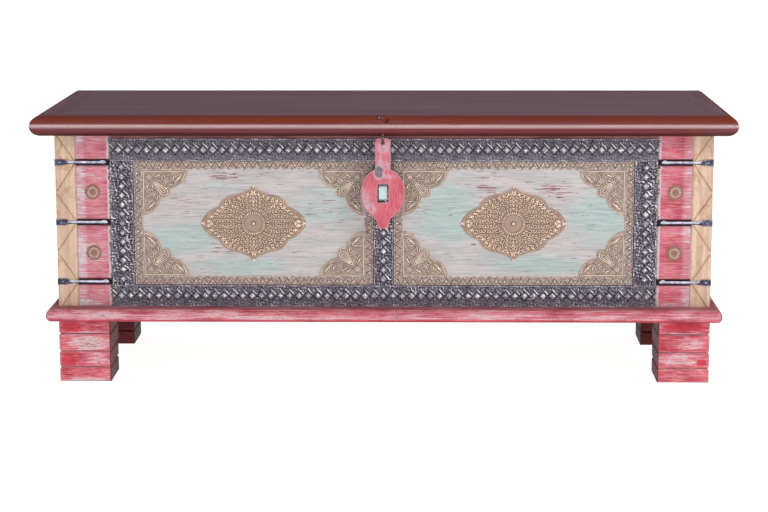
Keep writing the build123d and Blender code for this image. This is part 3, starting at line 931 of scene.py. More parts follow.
def joined_plates(name: str, plates: Iterable[Plate], finish: Finish,
                  stands_for: Iterable[str]) -> bpy.types.Object:
    """Makes one piece of the case from plates, and puts it in place of CAD nodes.

    Args:
        name: The piece's name.
        plates: The plates.
        finish: Its finish.
        stands_for: The nodes that it replaces.

    Returns:
        The piece.
    """
    all_points, all_faces, all_relief, shift = [], [], [], 0
    for plate in plates:
        points, faces, relief = plate.mesh_data()
        all_points.append(points)
        all_relief.append(relief)
        all_faces += [tuple(corner + shift for corner in face) for face in faces]
        shift += len(points)
    mesh = bpy.data.meshes.new(name)
    mesh.from_pydata(np.vstack(all_points).tolist(), [], all_faces)
    level = mesh.attributes.new(RELIEF, "FLOAT", "POINT")
    level.data.foreach_set("value", np.concatenate(all_relief).astype(np.float32))
    mesh.shade_smooth()
    mesh.set_sharp_from_angle(angle=math.radians(SHARP_ANGLE))
    piece = bpy.data.objects.new(name, mesh)
    bpy.context.scene.collection.objects.link(piece)
    finish.put_on(piece)
    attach(piece, "case")
    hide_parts(*stands_for)
    log.info("%s: %d faces for %s", name, len(all_faces), ", ".join(stands_for))
    return piece


def wave(place: Array, pitch: float) -> Array:
    """Gives the distance to the nearest multiple of a pitch, from 0 to half the pitch."""
    return np.abs((place + pitch / 2) % pitch - pitch / 2)


def ridge(gap: Array, half_width: float) -> Array:
    """Gives a rounded ridge's height by the distance from its middle."""
    return np.sqrt(np.clip(1 - (gap / half_width) ** 2, 0.0, 1.0))


def crumple(x: Array, z: Array, size: float, seed: float) -> Array:
    """Gives an uneven, hammered height without any random numbers.

    Args:
        x: Places across.
        z: Places up.
        size: The size of its waves.
        seed: A shift that makes it another pattern.

    Returns:
        The height, from 0 to 1.
    """
    a = np.sin(x / size * 2.1 + seed + 1.7 * np.sin(z / size * 1.3 + seed * 2))
    b = np.sin(z / size * 2.6 - seed + 1.9 * np.sin(x / size * 0.9 - seed))
    c = np.sin((x + z) / size * 1.1 + 2.3 * np.sin((x - z) / size * 0.7 + seed))
    return (a * b + c * 0.6 + 1.6) / 3.2


def corners_of(node: str) -> tuple[Array, Array]:
    """Gives a node's lowest and highest corner, in millimetres."""
    low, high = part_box(node)
    return np.array(low) / MM, np.array(high) / MM


# Metalwork

@dataclass
class StudRows:
    """The diamond studs of the iron sheets, one crisp pyramid for each."""

    radius: float = 4.3
    rise: float = 2.3
    top: float = 0.3
    smallest: float = 0.74
    largest: float = 1.1
    dullest: float = 0.15

    def tree(self, finish: Finish) -> bpy.types.NodeTree:
        """Builds the tree that sets a pyramid on each point.

        Args:
            finish: The studs' finish.

        Returns:
            The node tree.
        """
        group = bpy.data.node_groups.new("stud_rows", "GeometryNodeTree")
        face = group.interface
        face.new_socket(name="Places", in_out="INPUT", socket_type="NodeSocketGeometry")
        face.new_socket(name="Radius", in_out="INPUT", socket_type="NodeSocketFloat")
        face.new_socket(name="Rise", in_out="INPUT", socket_type="NodeSocketFloat")
        face.new_socket(name="Top share", in_out="INPUT", socket_type="NodeSocketFloat")
        face.new_socket(name="Studs", in_out="OUTPUT", socket_type="NodeSocketGeometry")
        graph = Graph(group)
        places = graph.node("NodeGroupInput")
        radius, rise, top = (places.output(name) for name in ("Radius", "Rise", "Top share"))
        pyramid = graph.node("GeometryNodeMeshCone", {"fill_type": "NGON"}, {
            "Vertices": 4, "Radius Top": radius * top, "Radius Bottom": radius, "Depth": rise})
        turned = graph.node("GeometryNodeTransform", inputs={
            "Geometry": pyramid, "Rotation": (math.radians(90), 0.0, 0.0)})
        spread = graph.node("FunctionNodeRandomValue", {"data_type": "FLOAT"},
                            {2: self.smallest, 3: self.largest, "Seed": 11}, output=1)
        worn = graph.node("FunctionNodeRandomValue", {"data_type": "FLOAT"},
                          {2: self.dullest, 3: 1.0, "Seed": 5}, output=1)
        studs = graph.node("GeometryNodeInstanceOnPoints", inputs={
            "Points": places, "Instance": turned, "Scale": spread})
        solid = graph.node("GeometryNodeRealizeInstances", inputs={0: studs})
        marked = graph.node("GeometryNodeStoreNamedAttribute", {"data_type": "FLOAT", "domain": "POINT"}, {
            "Geometry": solid, "Name": RELIEF, "Value": worn})
        dressed = graph.node("GeometryNodeSetMaterial", inputs={
            "Geometry": marked, "Material": finish.material()})
        graph.node("NodeGroupOutput", inputs={0: dressed})
        return group


def grown(name: str, places: Iterable[Triple], group: bpy.types.NodeTree,
          sizes: dict[str, Any], body: str) -> bpy.types.Object:
    """Runs a tree on a set of places and keeps the plain mesh that it gives.

    Args:
        name: The piece's name.
        places: The places, in millimetres.
        group: The tree.
        sizes: The tree's named inputs.
        body: The body the piece rides on.

    Returns:
        The piece.
    """
    seeds = bpy.data.meshes.new(name + "_places")
    seeds.from_pydata([tuple(part * MM for part in place) for place in places], [], [])
    grower = bpy.data.objects.new(name + "_grower", seeds)
    bpy.context.scene.collection.objects.link(grower)
    modifier = grower.modifiers.new("grow", "NODES")
    modifier.node_group = group
    for item in group.interface.items_tree:
        if item.in_out == "INPUT" and item.name in sizes:
            modifier[item.identifier] = sizes[item.name]
    found = grower.evaluated_get(bpy.context.evaluated_depsgraph_get())
    mesh = bpy.data.meshes.new_from_object(found)
    mesh.name = name
    grower.modifiers.remove(modifier)
    bpy.data.objects.remove(grower)
    piece = bpy.data.objects.new(name, mesh)
    bpy.context.scene.collection.objects.link(piece)
    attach(piece, body)
    log.info("%s: %d faces", name, len(mesh.polygons))
    return piece


@dataclass
class Heads:
    """Domed heads of nails and pins."""

    segments: int = 12
    rings: int = 6
    cleanness: float = 0.8

    def tree(self, finish: Finish, name: str) -> bpy.types.NodeTree:
        """Builds the tree that sets a dome on each point.

        Args:
            finish: The heads' finish.
            name: The tree's name.

        Returns:
            The node tree.
        """
        group = bpy.data.node_groups.new(name, "GeometryNodeTree")
        face = group.interface
        face.new_socket(name="Places", in_out="INPUT", socket_type="NodeSocketGeometry")
        face.new_socket(name="Size", in_out="INPUT", socket_type="NodeSocketVector")
        face.new_socket(name="Heads", in_out="OUTPUT", socket_type="NodeSocketGeometry")
        graph = Graph(group)
        places = graph.node("NodeGroupInput")
        dome = graph.node("GeometryNodeMeshUVSphere", inputs={
            "Segments": self.segments, "Rings": self.rings, "Radius": 1.0})
        smooth = graph.node("GeometryNodeSetShadeSmooth", inputs={0: dome})
        heads = graph.node("GeometryNodeInstanceOnPoints", inputs={
            "Points": places, "Instance": smooth, "Scale": places.output("Size")})
        solid = graph.node("GeometryNodeRealizeInstances", inputs={0: heads})
        marked = graph.node("GeometryNodeStoreNamedAttribute", {"data_type": "FLOAT", "domain": "POINT"}, {
            "Geometry": solid, "Name": RELIEF, "Value": self.cleanness})
        dressed = graph.node("GeometryNodeSetMaterial", inputs={
            "Geometry": marked, "Material": finish.material()})
        graph.node("NodeGroupOutput", inputs={0: dressed})
        return group


@dataclass(frozen=True)
class Sheet:
    """How one iron sheet is embossed: how rough, and how far its diamonds reach from the row of studs."""

    node: str
    upright: bool
    seed: float
    rough: float
    lattice: float = 8.4

    @property
    def along(self) -> int:
        """The axis along which its studs stand: 0 for X, 2 for Z."""
        return 2 if self.upright else 0


@dataclass
class IronSheets:
    """The five embossed sheets over the front frame, with their studs."""

    finish: Finish
    stud_finish: Finish
    sheets: tuple[Sheet, ...] = (
        Sheet("sheet_top", False, 1.0, 0.35),
        Sheet("sheet_bottom", False, 2.4, 0.5),
        Sheet("sheet_left", True, 3.3, 1.0, 8.2),
        Sheet("sheet_right", True, 4.9, 0.95, 8.2),
        Sheet("sheet_centre", True, 5.6, 0.85, 7.8),
    )
    pitch: float = 15.8
    stud_reach: float = 4.75
    grid: float = 0.7
    rise: float = 1.5
    sink: float = 0.4
    thickness: float = 0.6
    dent: float = 0.3
    wander: float = 2.2
    crown_gap: float = 4.0
    foot_gap: float = 4.6
    stud_sink: float = 1.2
    staple_reach: float = 18.0
    staple_level: float = 326.0
    staple_half_width: float = 20.0

    def _stud_places(self, low: float, high: float) -> list[float]:
        """Gives the studs' places along a row."""
        count = int((high - low - self.stud_reach) / self.pitch)
        return [(low + high) / 2 + (index - (count - 1) / 2) * self.pitch for index in range(count)]

    def _pattern(self, sheet: Sheet, along: Array, across: Array, half: float,
                 first: float) -> tuple[Array, Array]:
        """Draws the embossing of one sheet.

        Args:
            sheet: The sheet.
            along: Places along the row of studs.
            across: Places beside it.
            half: Half of the sheet's width.
            first: A stud's place.

        Returns:
            How far each place is raised and how far it is sunk, from 0 to 1.
        """
        wander = self.wander * sheet.rough
        bent = along - first + wander * (crumple(along, across, 6.0, sheet.seed) - 0.5)
        beside = across + wander * (crumple(across, along, 5.0, sheet.seed + 1) - 0.5)
        side = (bent + self.pitch / 2) % self.pitch - self.pitch / 2
        slope = sheet.lattice / (self.pitch / 2)
        line = math.hypot(slope, 1)
        out = (np.abs(side) * slope + np.abs(beside) - sheet.lattice) / line
        lit_side = (side * slope + beside - sheet.lattice) / line
        crown = np.hypot(side, beside - sheet.lattice - self.crown_gap)
        foot = np.hypot(side, beside + sheet.lattice + self.foot_gap)
        chips = crumple(bent, beside, 1.7, sheet.seed + 5)
        battered = (0.3 + 0.7 * sheet.rough) * np.clip(out + 1.0, 0.25, 1.0)
        pyramid = np.clip(-out * line / sheet.lattice, 0.0, 1.0) * 0.55
        lit_line = ridge(lit_side - 1.9, 0.95) * (side > -1.0) * (beside > -1.0)
        crown_bead, foot_ring = ridge(crown, 1.2) * 0.8, ridge(foot - 2.6, 0.5) * 0.35
        chipped = np.clip((chips - 0.60) * 6, 0, 1) * battered * 0.75
        rolled_rim = ridge(np.abs(across) - half + 1.0, 0.8) * 0.45
        groove, outer_groove = ridge(out, 1.15), ridge(out - 3.3, 0.6) * 0.55
        crown_groove = ridge(crown - 2.0, 0.85) * 0.9
        hatch = ridge(wave(bent, self.pitch / 6), 0.55) * 0.5 * (out > 0.8)
        pitted = np.clip((0.40 - chips) * 6, 0, 1) * battered * 0.9
        return (np.maximum.reduce([pyramid, lit_line, crown_bead, foot_ring, chipped, rolled_rim]),
                np.maximum.reduce([groove, outer_groove, crown_groove, hatch, pitted]))

    def _emboss(self, sheet: Sheet) -> Plate:
        """Embosses one sheet.

        Args:
            sheet: The sheet.

        Returns:
            Its plate.
        """
        low, high = corners_of(sheet.node)
        x = np.linspace(low[0], high[0], max(2, round((high[0] - low[0]) / self.grid)))
        z = np.linspace(low[2], high[2], max(2, round((high[2] - low[2]) / self.grid)))
        across_x, up_z = np.meshgrid(x, z, indexing="ij")
        middle = (low + high) / 2
        half = (high - low)[2 - sheet.along] / 2
        along, across = (up_z, across_x - middle[0]) if sheet.upright else (across_x, up_z - middle[2])
        first = self._stud_places(low[sheet.along], high[sheet.along])[0]
        raised, sunk = self._pattern(sheet, along, across, half, first)
        dents = crumple(along, across, 6.5, sheet.seed + 1.0)
        uneven = 0.35 + 0.8 * crumple(along, across, 11.0, sheet.seed + 3)
        height = (self.thickness + self.rise * raised * (0.6 + 0.4 * uneven) - self.sink * sunk
                  + self.dent * dents)
        level = tone(0.24 - 0.06 * sheet.upright + 0.2 * dents, np.clip(raised * uneven * 1.25, 0, 1),
                     np.clip(sunk * 1.25, 0, 1))
        backing = Backing.COLUMNS if sheet.upright else Backing.ROWS
        return Plate(across_x, up_z, height, level, high[1], backing)

    def _studs(self) -> list[Triple]:
        """Sets out the studs, with none behind the hasp's staple.

        Returns:
            The middle of every stud.
        """
        places = []
        for sheet in self.sheets:
            low, high = corners_of(sheet.node)
            middle = (low + high) / 2
            on_muntin = sheet.upright and abs(middle[0]) < self.staple_half_width
            for place in self._stud_places(low[sheet.along], high[sheet.along]):
                if on_muntin and abs(place - self.staple_level) < self.staple_reach:
                    continue
                x, z = (middle[0], place) if sheet.upright else (place, middle[2])
                places.append((x, high[1] - self.stud_sink, z))
        return places

    def build(self) -> None:
        """Builds the sheets and sets the studs on them."""
        for sheet in self.sheets:
            joined_plates("embossed_" + sheet.node, [self._emboss(sheet)], self.finish,
                          [sheet.node])
        rows = StudRows()
        studs = grown("diamond_studs", self._studs(), rows.tree(self.stud_finish), {
            "Radius": rows.radius * MM, "Rise": rows.rise * MM, "Top share": rows.top}, "case")


@dataclass
class Border:
    """The embossed brass strips round one panel, mitred at the corners."""

    node: str
    finish: Finish
    seed: float
    width: float = 15.0
    point: float = 4.8
    small_point: float = 3.0
    spandrel_end: float = 84.0
    pitch: float = 14.0
    grid: float = 0.65
    rise: float = 1.4
    sink: float = 0.35
    thickness: float = 0.5
    dent: float = 0.25
    leaf_tip: float = 12.0
    leaf_slope: float = 1.7
    leaf_length: float = 1.97
    berry_row: float = 5.0
    bead_row: float = 10.4

    def _pattern(self, along: Array, inward: Array, reach: Array) -> tuple[Array, Array]:
        """Draws the running leaves of a strip.

        Args:
            along: Places along the strip.
            inward: Places in from its outer edge.
            reach: How far in its inner edge is at each place.

        Returns:
            How far each place is raised and how far it is sunk, from 0 to 1.
        """
        off = wave(along, self.pitch)
        leaf = (off * self.leaf_slope + inward - self.leaf_tip) / self.leaf_length
        berry = np.hypot(off, inward - self.berry_row)
        bead = np.hypot(self.pitch / 2 - off, inward - self.bead_row)
        raised = [ridge(leaf + 2.0, 0.6) * 0.8, ridge(leaf - 1.3, 0.5) * 0.6, ridge(berry, 1.3),
                  ridge(bead, 1.2) * 0.8, ridge(inward - 1.0, 0.6) * 0.6,
                  ridge(reach - inward - 0.9, 0.7) * 0.6]
        sunk = [ridge(leaf, 0.85), ridge(berry - 2.1, 0.6) * 0.7, ridge(bead - 1.9, 0.5) * 0.6,
                ridge(inward - 2.2, 0.6) * 0.6]
        return np.maximum.reduce(raised), np.maximum.reduce(sunk)

    def _strip(self, length: float, point: float, seed: float) -> tuple[Array, Array, Array, Array]:
        """Lays out a strip along a line, with its outer edge at 0.

        Args:
            length: The strip's length.
            point: How deep its inner edge is cut between the points.
            seed: A shift that makes its wear different.

        Returns:
            The places along and inwards, the height and the patina.
        """
        rows, columns = round(length / self.grid), round(self.width / self.grid) + 4
        share, depth = np.meshgrid(np.linspace(0, 1, rows), np.linspace(0, 1, columns), indexing="ij")
        place = share * length - length / 2
        cut = wave(place, self.pitch) / (self.pitch / 2) * point
        reach = self.width - np.where(np.abs(place) < length / 2 - self.spandrel_end, cut, 0.0)
        inward = depth * reach
        along = inward + share * (length - 2 * inward)
        raised, sunk = self._pattern(along - length / 2, inward, reach)
        worn = 0.25 + 0.9 * crumple(along, inward, 9.0, seed)
        chips = crumple(along, inward, 1.9, seed + 4)
        raised = np.maximum(raised * worn, np.clip((chips - 0.66) * 4, 0, 1) * 0.6)
        sunk = np.maximum(sunk, np.clip((0.34 - chips) * 4, 0, 1) * 0.7)
        height = (self.thickness + self.rise * raised - self.sink * sunk
                  + self.dent * crumple(along, inward, 8.0, seed))
        return along, inward, height, tone(0.24 + 0.3 * crumple(along, inward, 5.0, seed), raised, sunk)

    def build(self) -> bpy.types.Object:
        """Builds the four strips as one piece.

        Returns:
            The piece.
        """
        low, high = corners_of(self.node)
        wide, tall = high[0] - low[0], high[2] - low[2]
        plates = []

        def add(x: Array, z: Array, height: Array, level: Array) -> None:
            """Adds one strip in its place."""
            plates.append(Plate(x, z, height, level, high[1]))

        along, inward, *worked = self._strip(wide, self.small_point, self.seed)
        add(low[0] + along, low[2] + inward, *worked)
        along, inward, *worked = self._strip(wide, self.point, self.seed + 1)
        add(high[0] - along, high[2] - inward, *worked)
        along, inward, *worked = self._strip(tall, 0.0, self.seed + 2)
        add(low[0] + inward, high[2] - along, *worked)
        along, inward, *worked = self._strip(tall, 0.0, self.seed + 3)
        add(high[0] - inward, low[2] + along, *worked)
        return joined_plates("embossed_" + self.node, plates, self.finish, [self.node])


def arc_through(start: Point, middle: Point, end: Point, count: int = 24) -> Array:
    """Follows the circle through three points.

    Args:
        start: The first point.
        middle: A point between.
        end: The last point.
        count: How many places to give.

    Returns:
        The places from start to end.
    """
    a, b, c = (np.array(point) for point in (start, middle, end))
    twice = 2 * (a[0] * (b[1] - c[1]) + b[0] * (c[1] - a[1]) + c[0] * (a[1] - b[1]))
    centre = np.array([
        (a @ a) * (b[1] - c[1]) + (b @ b) * (c[1] - a[1]) + (c @ c) * (a[1] - b[1]),
        (a @ a) * (c[0] - b[0]) + (b @ b) * (a[0] - c[0]) + (c @ c) * (b[0] - a[0]),
    ]) / twice
    turns = np.unwrap([math.atan2(*(point - centre)[::-1]) for point in (a, b, c)])
    turn = np.linspace(turns[0], turns[2], count)
    return centre + np.linalg.norm(a - centre) * np.stack([np.cos(turn), np.sin(turn)], -1)


@dataclass
class Spandrels:
    """The four brass corner pieces of a panel, with a leaf on the diagonal and sprays to both tips."""

    node: str
    finish: Finish
    leg: float = 76.0
    lobe: Point = (65.0, 22.0)
    notch: Point = (43.0, 31.0)
    leaf_side: Point = (46.0, 38.0)
    leaf_tip: float = 44.0
    angles: int = 190
    rings: int = 104
    rise: float = 2.0
    thickness: float = 0.5
    ground: float = 0.43
    # how much wider the strokes are drawn for the painted shade and grime beside them
    grime: float = 0.75
    inner_rim_start: float = 40.0

    def _outline(self) -> Array:
        """Follows the outer edge from one tip to the other.

        Returns:
            The places along it.
        """
        tip = (self.leaf_tip, self.leaf_tip)
        half = np.vstack([arc_through((self.leg, 0.0), self.lobe, self.notch),
                          arc_through(self.notch, self.leaf_side, tip)[1:]])
        return np.vstack([half, half[::-1, ::-1][1:]])

    def _ornament(self) -> list[Stroke | Bead]:
        """Draws the ornament below the diagonal; the rest mirrors it.

        Returns:
            The strokes and beads.
        """
        # each spray is its root, its bend, its tip and its width
        sprays = (
            ((53.5, 20.5), (61.0, 13.0), (68.0, 4.5), 2.4), ((58.5, 20.5), (65.0, 13.0), (70.0, 6.0), 1.2),
            ((49.5, 22.5), (55.0, 17.0), (61.0, 10.0), 1.3), ((55.0, 9.0), (60.0, 7.4), (64.5, 4.0), 1.5),
            ((50.5, 18.5), (52.5, 13.0), (51.5, 7.5), 2.0), ((46.5, 19.5), (48.0, 14.0), (47.0, 9.0), 1.4),
            ((53.5, 15.0), (56.5, 10.5), (54.5, 5.0), 1.4), ((33.0, 21.5), (38.0, 17.0), (44.0, 10.5), 1.8),
            ((36.0, 24.0), (41.5, 19.0), (45.5, 14.0), 1.7), ((39.5, 25.0), (46.0, 25.0), (52.5, 21.5), 1.6),
            ((38.0, 28.5), (42.0, 29.0), (46.5, 27.0), 1.4), ((42.0, 21.5), (45.5, 22.5), (49.0, 20.5), 1.2),
            ((27.0, 22.0), (30.0, 20.5), (33.0, 18.0), 1.4), ((20.0, 13.5), (24.0, 7.5), (32.5, 6.0), 2.0),
            ((17.5, 12.5), (20.0, 7.0), (26.0, 4.2), 1.4), ((26.5, 10.5), (27.5, 7.6), (30.0, 8.2), 1.1),
            ((9.0, 5.0), (12.0, 9.5), (18.5, 14.0), 1.8), ((5.5, 5.5), (10.0, 10.0), (16.5, 16.5), 1.8),
            ((13.0, 4.4), (15.0, 7.5), (19.0, 9.5), 1.2), ((34.5, 4.2), (39.0, 3.4), (44.0, 3.8), 1.2),
            ((46.0, 4.0), (48.5, 7.0), (48.0, 10.0), 1.2), ((21.5, 18.5), (26.0, 18.6), (29.5, 15.5), 1.3),
        )
        return [
            Stroke(((1.2, 1.2), (66.0, 1.2)), 1.7, Form.ROUND, 0.9),
            Stroke(((20.0, 20.0), (27.0, 27.0), (35.0, 35.0)), 12.5, Form.LOOP),
            Stroke(((22.5, 22.5), (34.5, 34.5)), 6.0, Form.LOOP, 0.95),
            Stroke(((24.0, 24.0), (34.0, 34.0)), 1.6, Form.SPRAY, 0.6),
            *(Stroke(line[:3], line[3], Form.SPRAY, 0.85 + 0.15 * (index % 2))
              for index, line in enumerate(sprays)),
            *scroll((34.0, 11.6), 4.8, 150.0, -420.0, 1.3),
            *scroll((25.5, 14.4), 3.0, 20.0, 330.0, 1.1),
            *scroll((41.5, 6.8), 2.6, 200.0, -330.0, 1.1),
            Bead(34.0, 11.6, 1.1, 0.9),
            Bead(25.5, 14.4, 0.8, 0.8),
            Bead(10.5, 3.9, 0.9, 0.7),
        ]

    def _corner(self) -> tuple[Array, Array, Array, Array]:
        """Lays out one corner piece with its right angle at the origin.

        Returns:
            The places across and up, its relief and that of its wider copy.
        """
        outline = self._outline()
        turns = np.arctan2(outline[:, 1], outline[:, 0])
        turn = np.linspace(0.0, math.pi / 2, self.angles)
        reach = np.interp(turn, turns, np.hypot(outline[:, 0], outline[:, 1]))
        share, _ = np.meshgrid(np.linspace(0, 1, self.rings), turn, indexing="ij")
        x, z = share * reach * np.cos(turn), share * reach * np.sin(turn)
        high_side, low_side = np.maximum(x, z), np.minimum(x, z)
        inner = (1 - share) * reach
        outside = np.hypot(x, z) > self.inner_rim_start
        pattern, around = (
            np.maximum.reduce([carve(self._ornament(), high_side, low_side, margin),
                               ridge(inner - 0.9, 0.7 + margin * 0.5) * 0.6,
                               ridge(inner - 4.0, 0.65 + margin * 0.8) * 0.9 * outside])
            for margin in (0.0, self.grime))
        return x, z, pattern, around

    def build(self) -> bpy.types.Object:
        """Builds the four corner pieces as one piece.

        Returns:
            The piece.
        """
        low, high = corners_of(self.node)
        x, z, pattern, around = self._corner()
        plates = []
        for x_way, z_way in ((1, 1), (-1, 1), (-1, -1), (1, -1)):
            at_x = (low[0] if x_way > 0 else high[0]) + x_way * x
            at_z = (low[2] if z_way > 0 else high[2]) + z_way * z
            worn = pattern * (0.75 + 0.35 * crumple(at_x, at_z, 16.0, 1.3))
            height, level = self.thickness + self.rise * worn, patina(worn, around, self.ground)
            order = slice(None, None, 1 if x_way * z_way > 0 else -1)
            plates.append(Plate(at_x[order], at_z[order], height[order], level[order], high[1],
                                Backing.COLUMNS))
        return joined_plates("embossed_" + self.node, plates, self.finish, [self.node])


@dataclass
class Medallion:
    """The lobed brass medallion in the middle of a panel."""

    node: str
    finish: Finish
    cusps: tuple[Point, ...] = ((0.66, 0.43), (0.33, 0.75), (0.12, 0.86))
    bulges: tuple[Point, ...] = ((0.86, 0.28), (0.53, 0.66), (0.22, 0.80), (0.05, 0.92))
    angles: int = 690
    rings: int = 136
    rise: float = 2.0
    dome: float = 1.2
    thickness: float = 0.5
    ground: float = 0.38
    # how much wider the strokes are drawn for the painted shade and grime beside them
    grime: float = 0.65
    plain_rim: float = 5.2
    stems: tuple[Triple, ...] = ((0.0, 21.0, 74.0), (42.0, 21.0, 60.0), (90.0, 21.0, 52.0))
    lace_start: float = 24.0
    lace_pitch: Point = (6.6, 8.2)
    lace_curl: float = 3.5
    fringe_share: float = 0.83
    fringe_count: int = 24
    fringe_length: float = 6.0
    centre: float = 15.0
    petal: float = 5.5
    petal_turn: int = 10
    pin_hollow: float = 4.4

    def _quarter(self, wide: float, tall: float) -> Array:
        """Follows a quarter of the outline from its right end to its top.

        Args:
            wide: Half of the medallion's width.
            tall: Half of its height.

        Returns:
            The places along it.
        """
        ends = [(wide * x, tall * z) for x, z in ((1.0, 0.0), *self.cusps, (0.0, 1.0))]
        bulges = [(wide * x, tall * z) for x, z in self.bulges]
        parts = [arc_through(a, b, c)[:-1] for a, b, c in zip(ends, bulges, ends[1:])]
        return np.vstack([*parts, [ends[-1]]])

    @staticmethod
    def _way(heading: float) -> Array:
        """Gives the direction at an angle, in degrees."""
        return np.array((math.cos(math.radians(heading)), math.sin(math.radians(heading))))

    def _lace(self, outline: Array) -> list[Stroke | Bead]:
        """Fills a quarter with rings of open curls, turned this way and that.

        Args:
            outline: The quarter's outline, from its right end to its top.

        Returns:
            The curls.
        """
        turns = np.degrees(np.arctan2(outline[:, 1], outline[:, 0]))
        reach = np.hypot(outline[:, 0], outline[:, 1])
        parts: list[Stroke | Bead] = []
        out, ring = self.lace_start, 0
        while out < reach.max():
            count = max(2, round(out * math.pi / 2 / self.lace_pitch[1]))
            for index in range(count):
                heading = (index + 0.5) / count * 90.0
                if out > np.interp(heading, turns, reach) - self.lace_curl - 2.0:
                    continue
                eye = out * self._way(heading)
                way = 1 if (ring + index) % 2 else -1
                start = heading - 90.0 * way + 25.0 * ring
                parts += scroll(tuple(eye), self.lace_curl, start, 290.0 * way, 1.5)
                parts.append(Bead(eye[0], eye[1], 0.9, 0.8))
            out, ring = out + self.lace_pitch[0], ring + 1
        return parts

    def _ornament(self, outline: Array) -> list[Stroke | Bead]:
        """Gives the strokes of one quarter; the rest mirror them.

        Args:
            outline: The quarter's outline, from its right end to its top.

        Returns:
            The strokes and beads.
        """
        parts: list[Stroke | Bead] = [
            Stroke(((70.0, 0.0), (80.0, 0.0)), 6.0, Form.LOOP, 0.7),
            Stroke(((0.0, 48.0), (0.0, 56.0)), 5.0, Form.LOOP, 0.7),
        ]
        for heading, first, last in self.stems:
            way = self._way(heading)
            parts.append(Stroke((tuple(way * first), tuple(way * last)), 1.2, Form.SPRAY, 0.6))
        parts += self._lace(outline)
        parts += self._fringe(outline)
        for turn in range(self.petal_turn // 2, 90, self.petal_turn):
            way = self._way(turn)
            ends = (tuple(way * self.centre), tuple(way * (self.centre + self.petal)))
            parts.append(Stroke(ends, 2.1, Form.SPRAY, 0.7))
        return parts

    def _fringe(self, outline: Array) -> list[Stroke]:
        """Sets short leaves inside a quarter's outline, leaning to either side in turn.

        Args:
            outline: The quarter's outline, from its right end to its top.

        Returns:
            The leaves.
        """
        lengths = np.concatenate([[0.0], np.cumsum(np.hypot(*np.diff(outline, axis=0).T))])
        parts = []
        for index in range(self.fringe_count):
            place = (index + 0.5) / self.fringe_count * lengths[-1]
            rim = np.array([np.interp(place, lengths, outline[:, axis]) for axis in (0, 1)])
            root = self.fringe_share * rim
            heading = math.degrees(math.atan2(root[1] * 1.2, root[0]))
            along, aside = self._way(heading + 25.0 * (-1) ** index), self._way(heading + 90.0)
            bend, tip = root + along * self.fringe_length * 0.5 + aside, root + along * self.fringe_length
            parts.append(Stroke((tuple(root - along * 1.5), tuple(bend), tuple(tip)), 1.9, Form.SPRAY, 0.9))
        return parts

    def worked(self, x: Array, z: Array, inner: Array, outline: Array) -> tuple[Array, Array]:
        """Gives the relief and the same with wider strokes.

        Args:
            x: Places across, from the middle.
            z: Places up, from the middle.
            inner: How far inside the rim each place is.
            outline: A quarter of the outline.

        Returns:
            The height of the ornament and that of its wider copy, from 0 to 1.
        """
        ornament = self._ornament(outline)
        inside = inner > self.plain_rim
        reliefs = [
            np.maximum.reduce([inside * carve(ornament, np.abs(x), np.abs(z), margin),
                               ridge(inner - 1.2, 0.7 + margin * 0.5) * 0.6,
                               ridge(inner - 4.3, 0.7 + margin * 0.6)])
            for margin in (0.0, self.grime)]
        return reliefs[0], reliefs[1]

    def build(self) -> bpy.types.Object:
        """Builds the medallion.

        Returns:
            The piece.
        """
        low, high = corners_of(self.node)
        middle = (low + high) / 2
        outline = self._quarter((high[0] - low[0]) / 2, (high[2] - low[2]) / 2)
        turns = np.arctan2(outline[:, 1], outline[:, 0])
        turn = np.linspace(0.0, 2 * math.pi, self.angles + 1)
        folded = np.abs((turn + math.pi / 2) % math.pi - math.pi / 2)
        reach = np.interp(folded, turns, np.hypot(outline[:, 0], outline[:, 1]))
        share, _ = np.meshgrid(np.linspace(0, 1, self.rings), turn, indexing="ij")
        x, z = share * reach * np.cos(turn), share * reach * np.sin(turn)
        inner = (1 - share) * reach
        pattern, around = self.worked(x, z, inner, outline)
        worn = pattern * (0.75 + 0.35 * crumple(x, z, 17.0, 0.9))
        height = self.thickness + self.dome * (1 - share ** 2) + self.rise * worn
        round_pin = np.clip((np.hypot(x, z) - self.pin_hollow) + 1.0, 0.0, 1.0)
        level = patina(worn, around, self.ground) * round_pin
        plate = Plate(middle[0] + x, middle[2] + z, height, level, high[1], Backing.MIDDLE)
        return joined_plates("embossed_" + self.node, [plate], self.finish, [self.node])


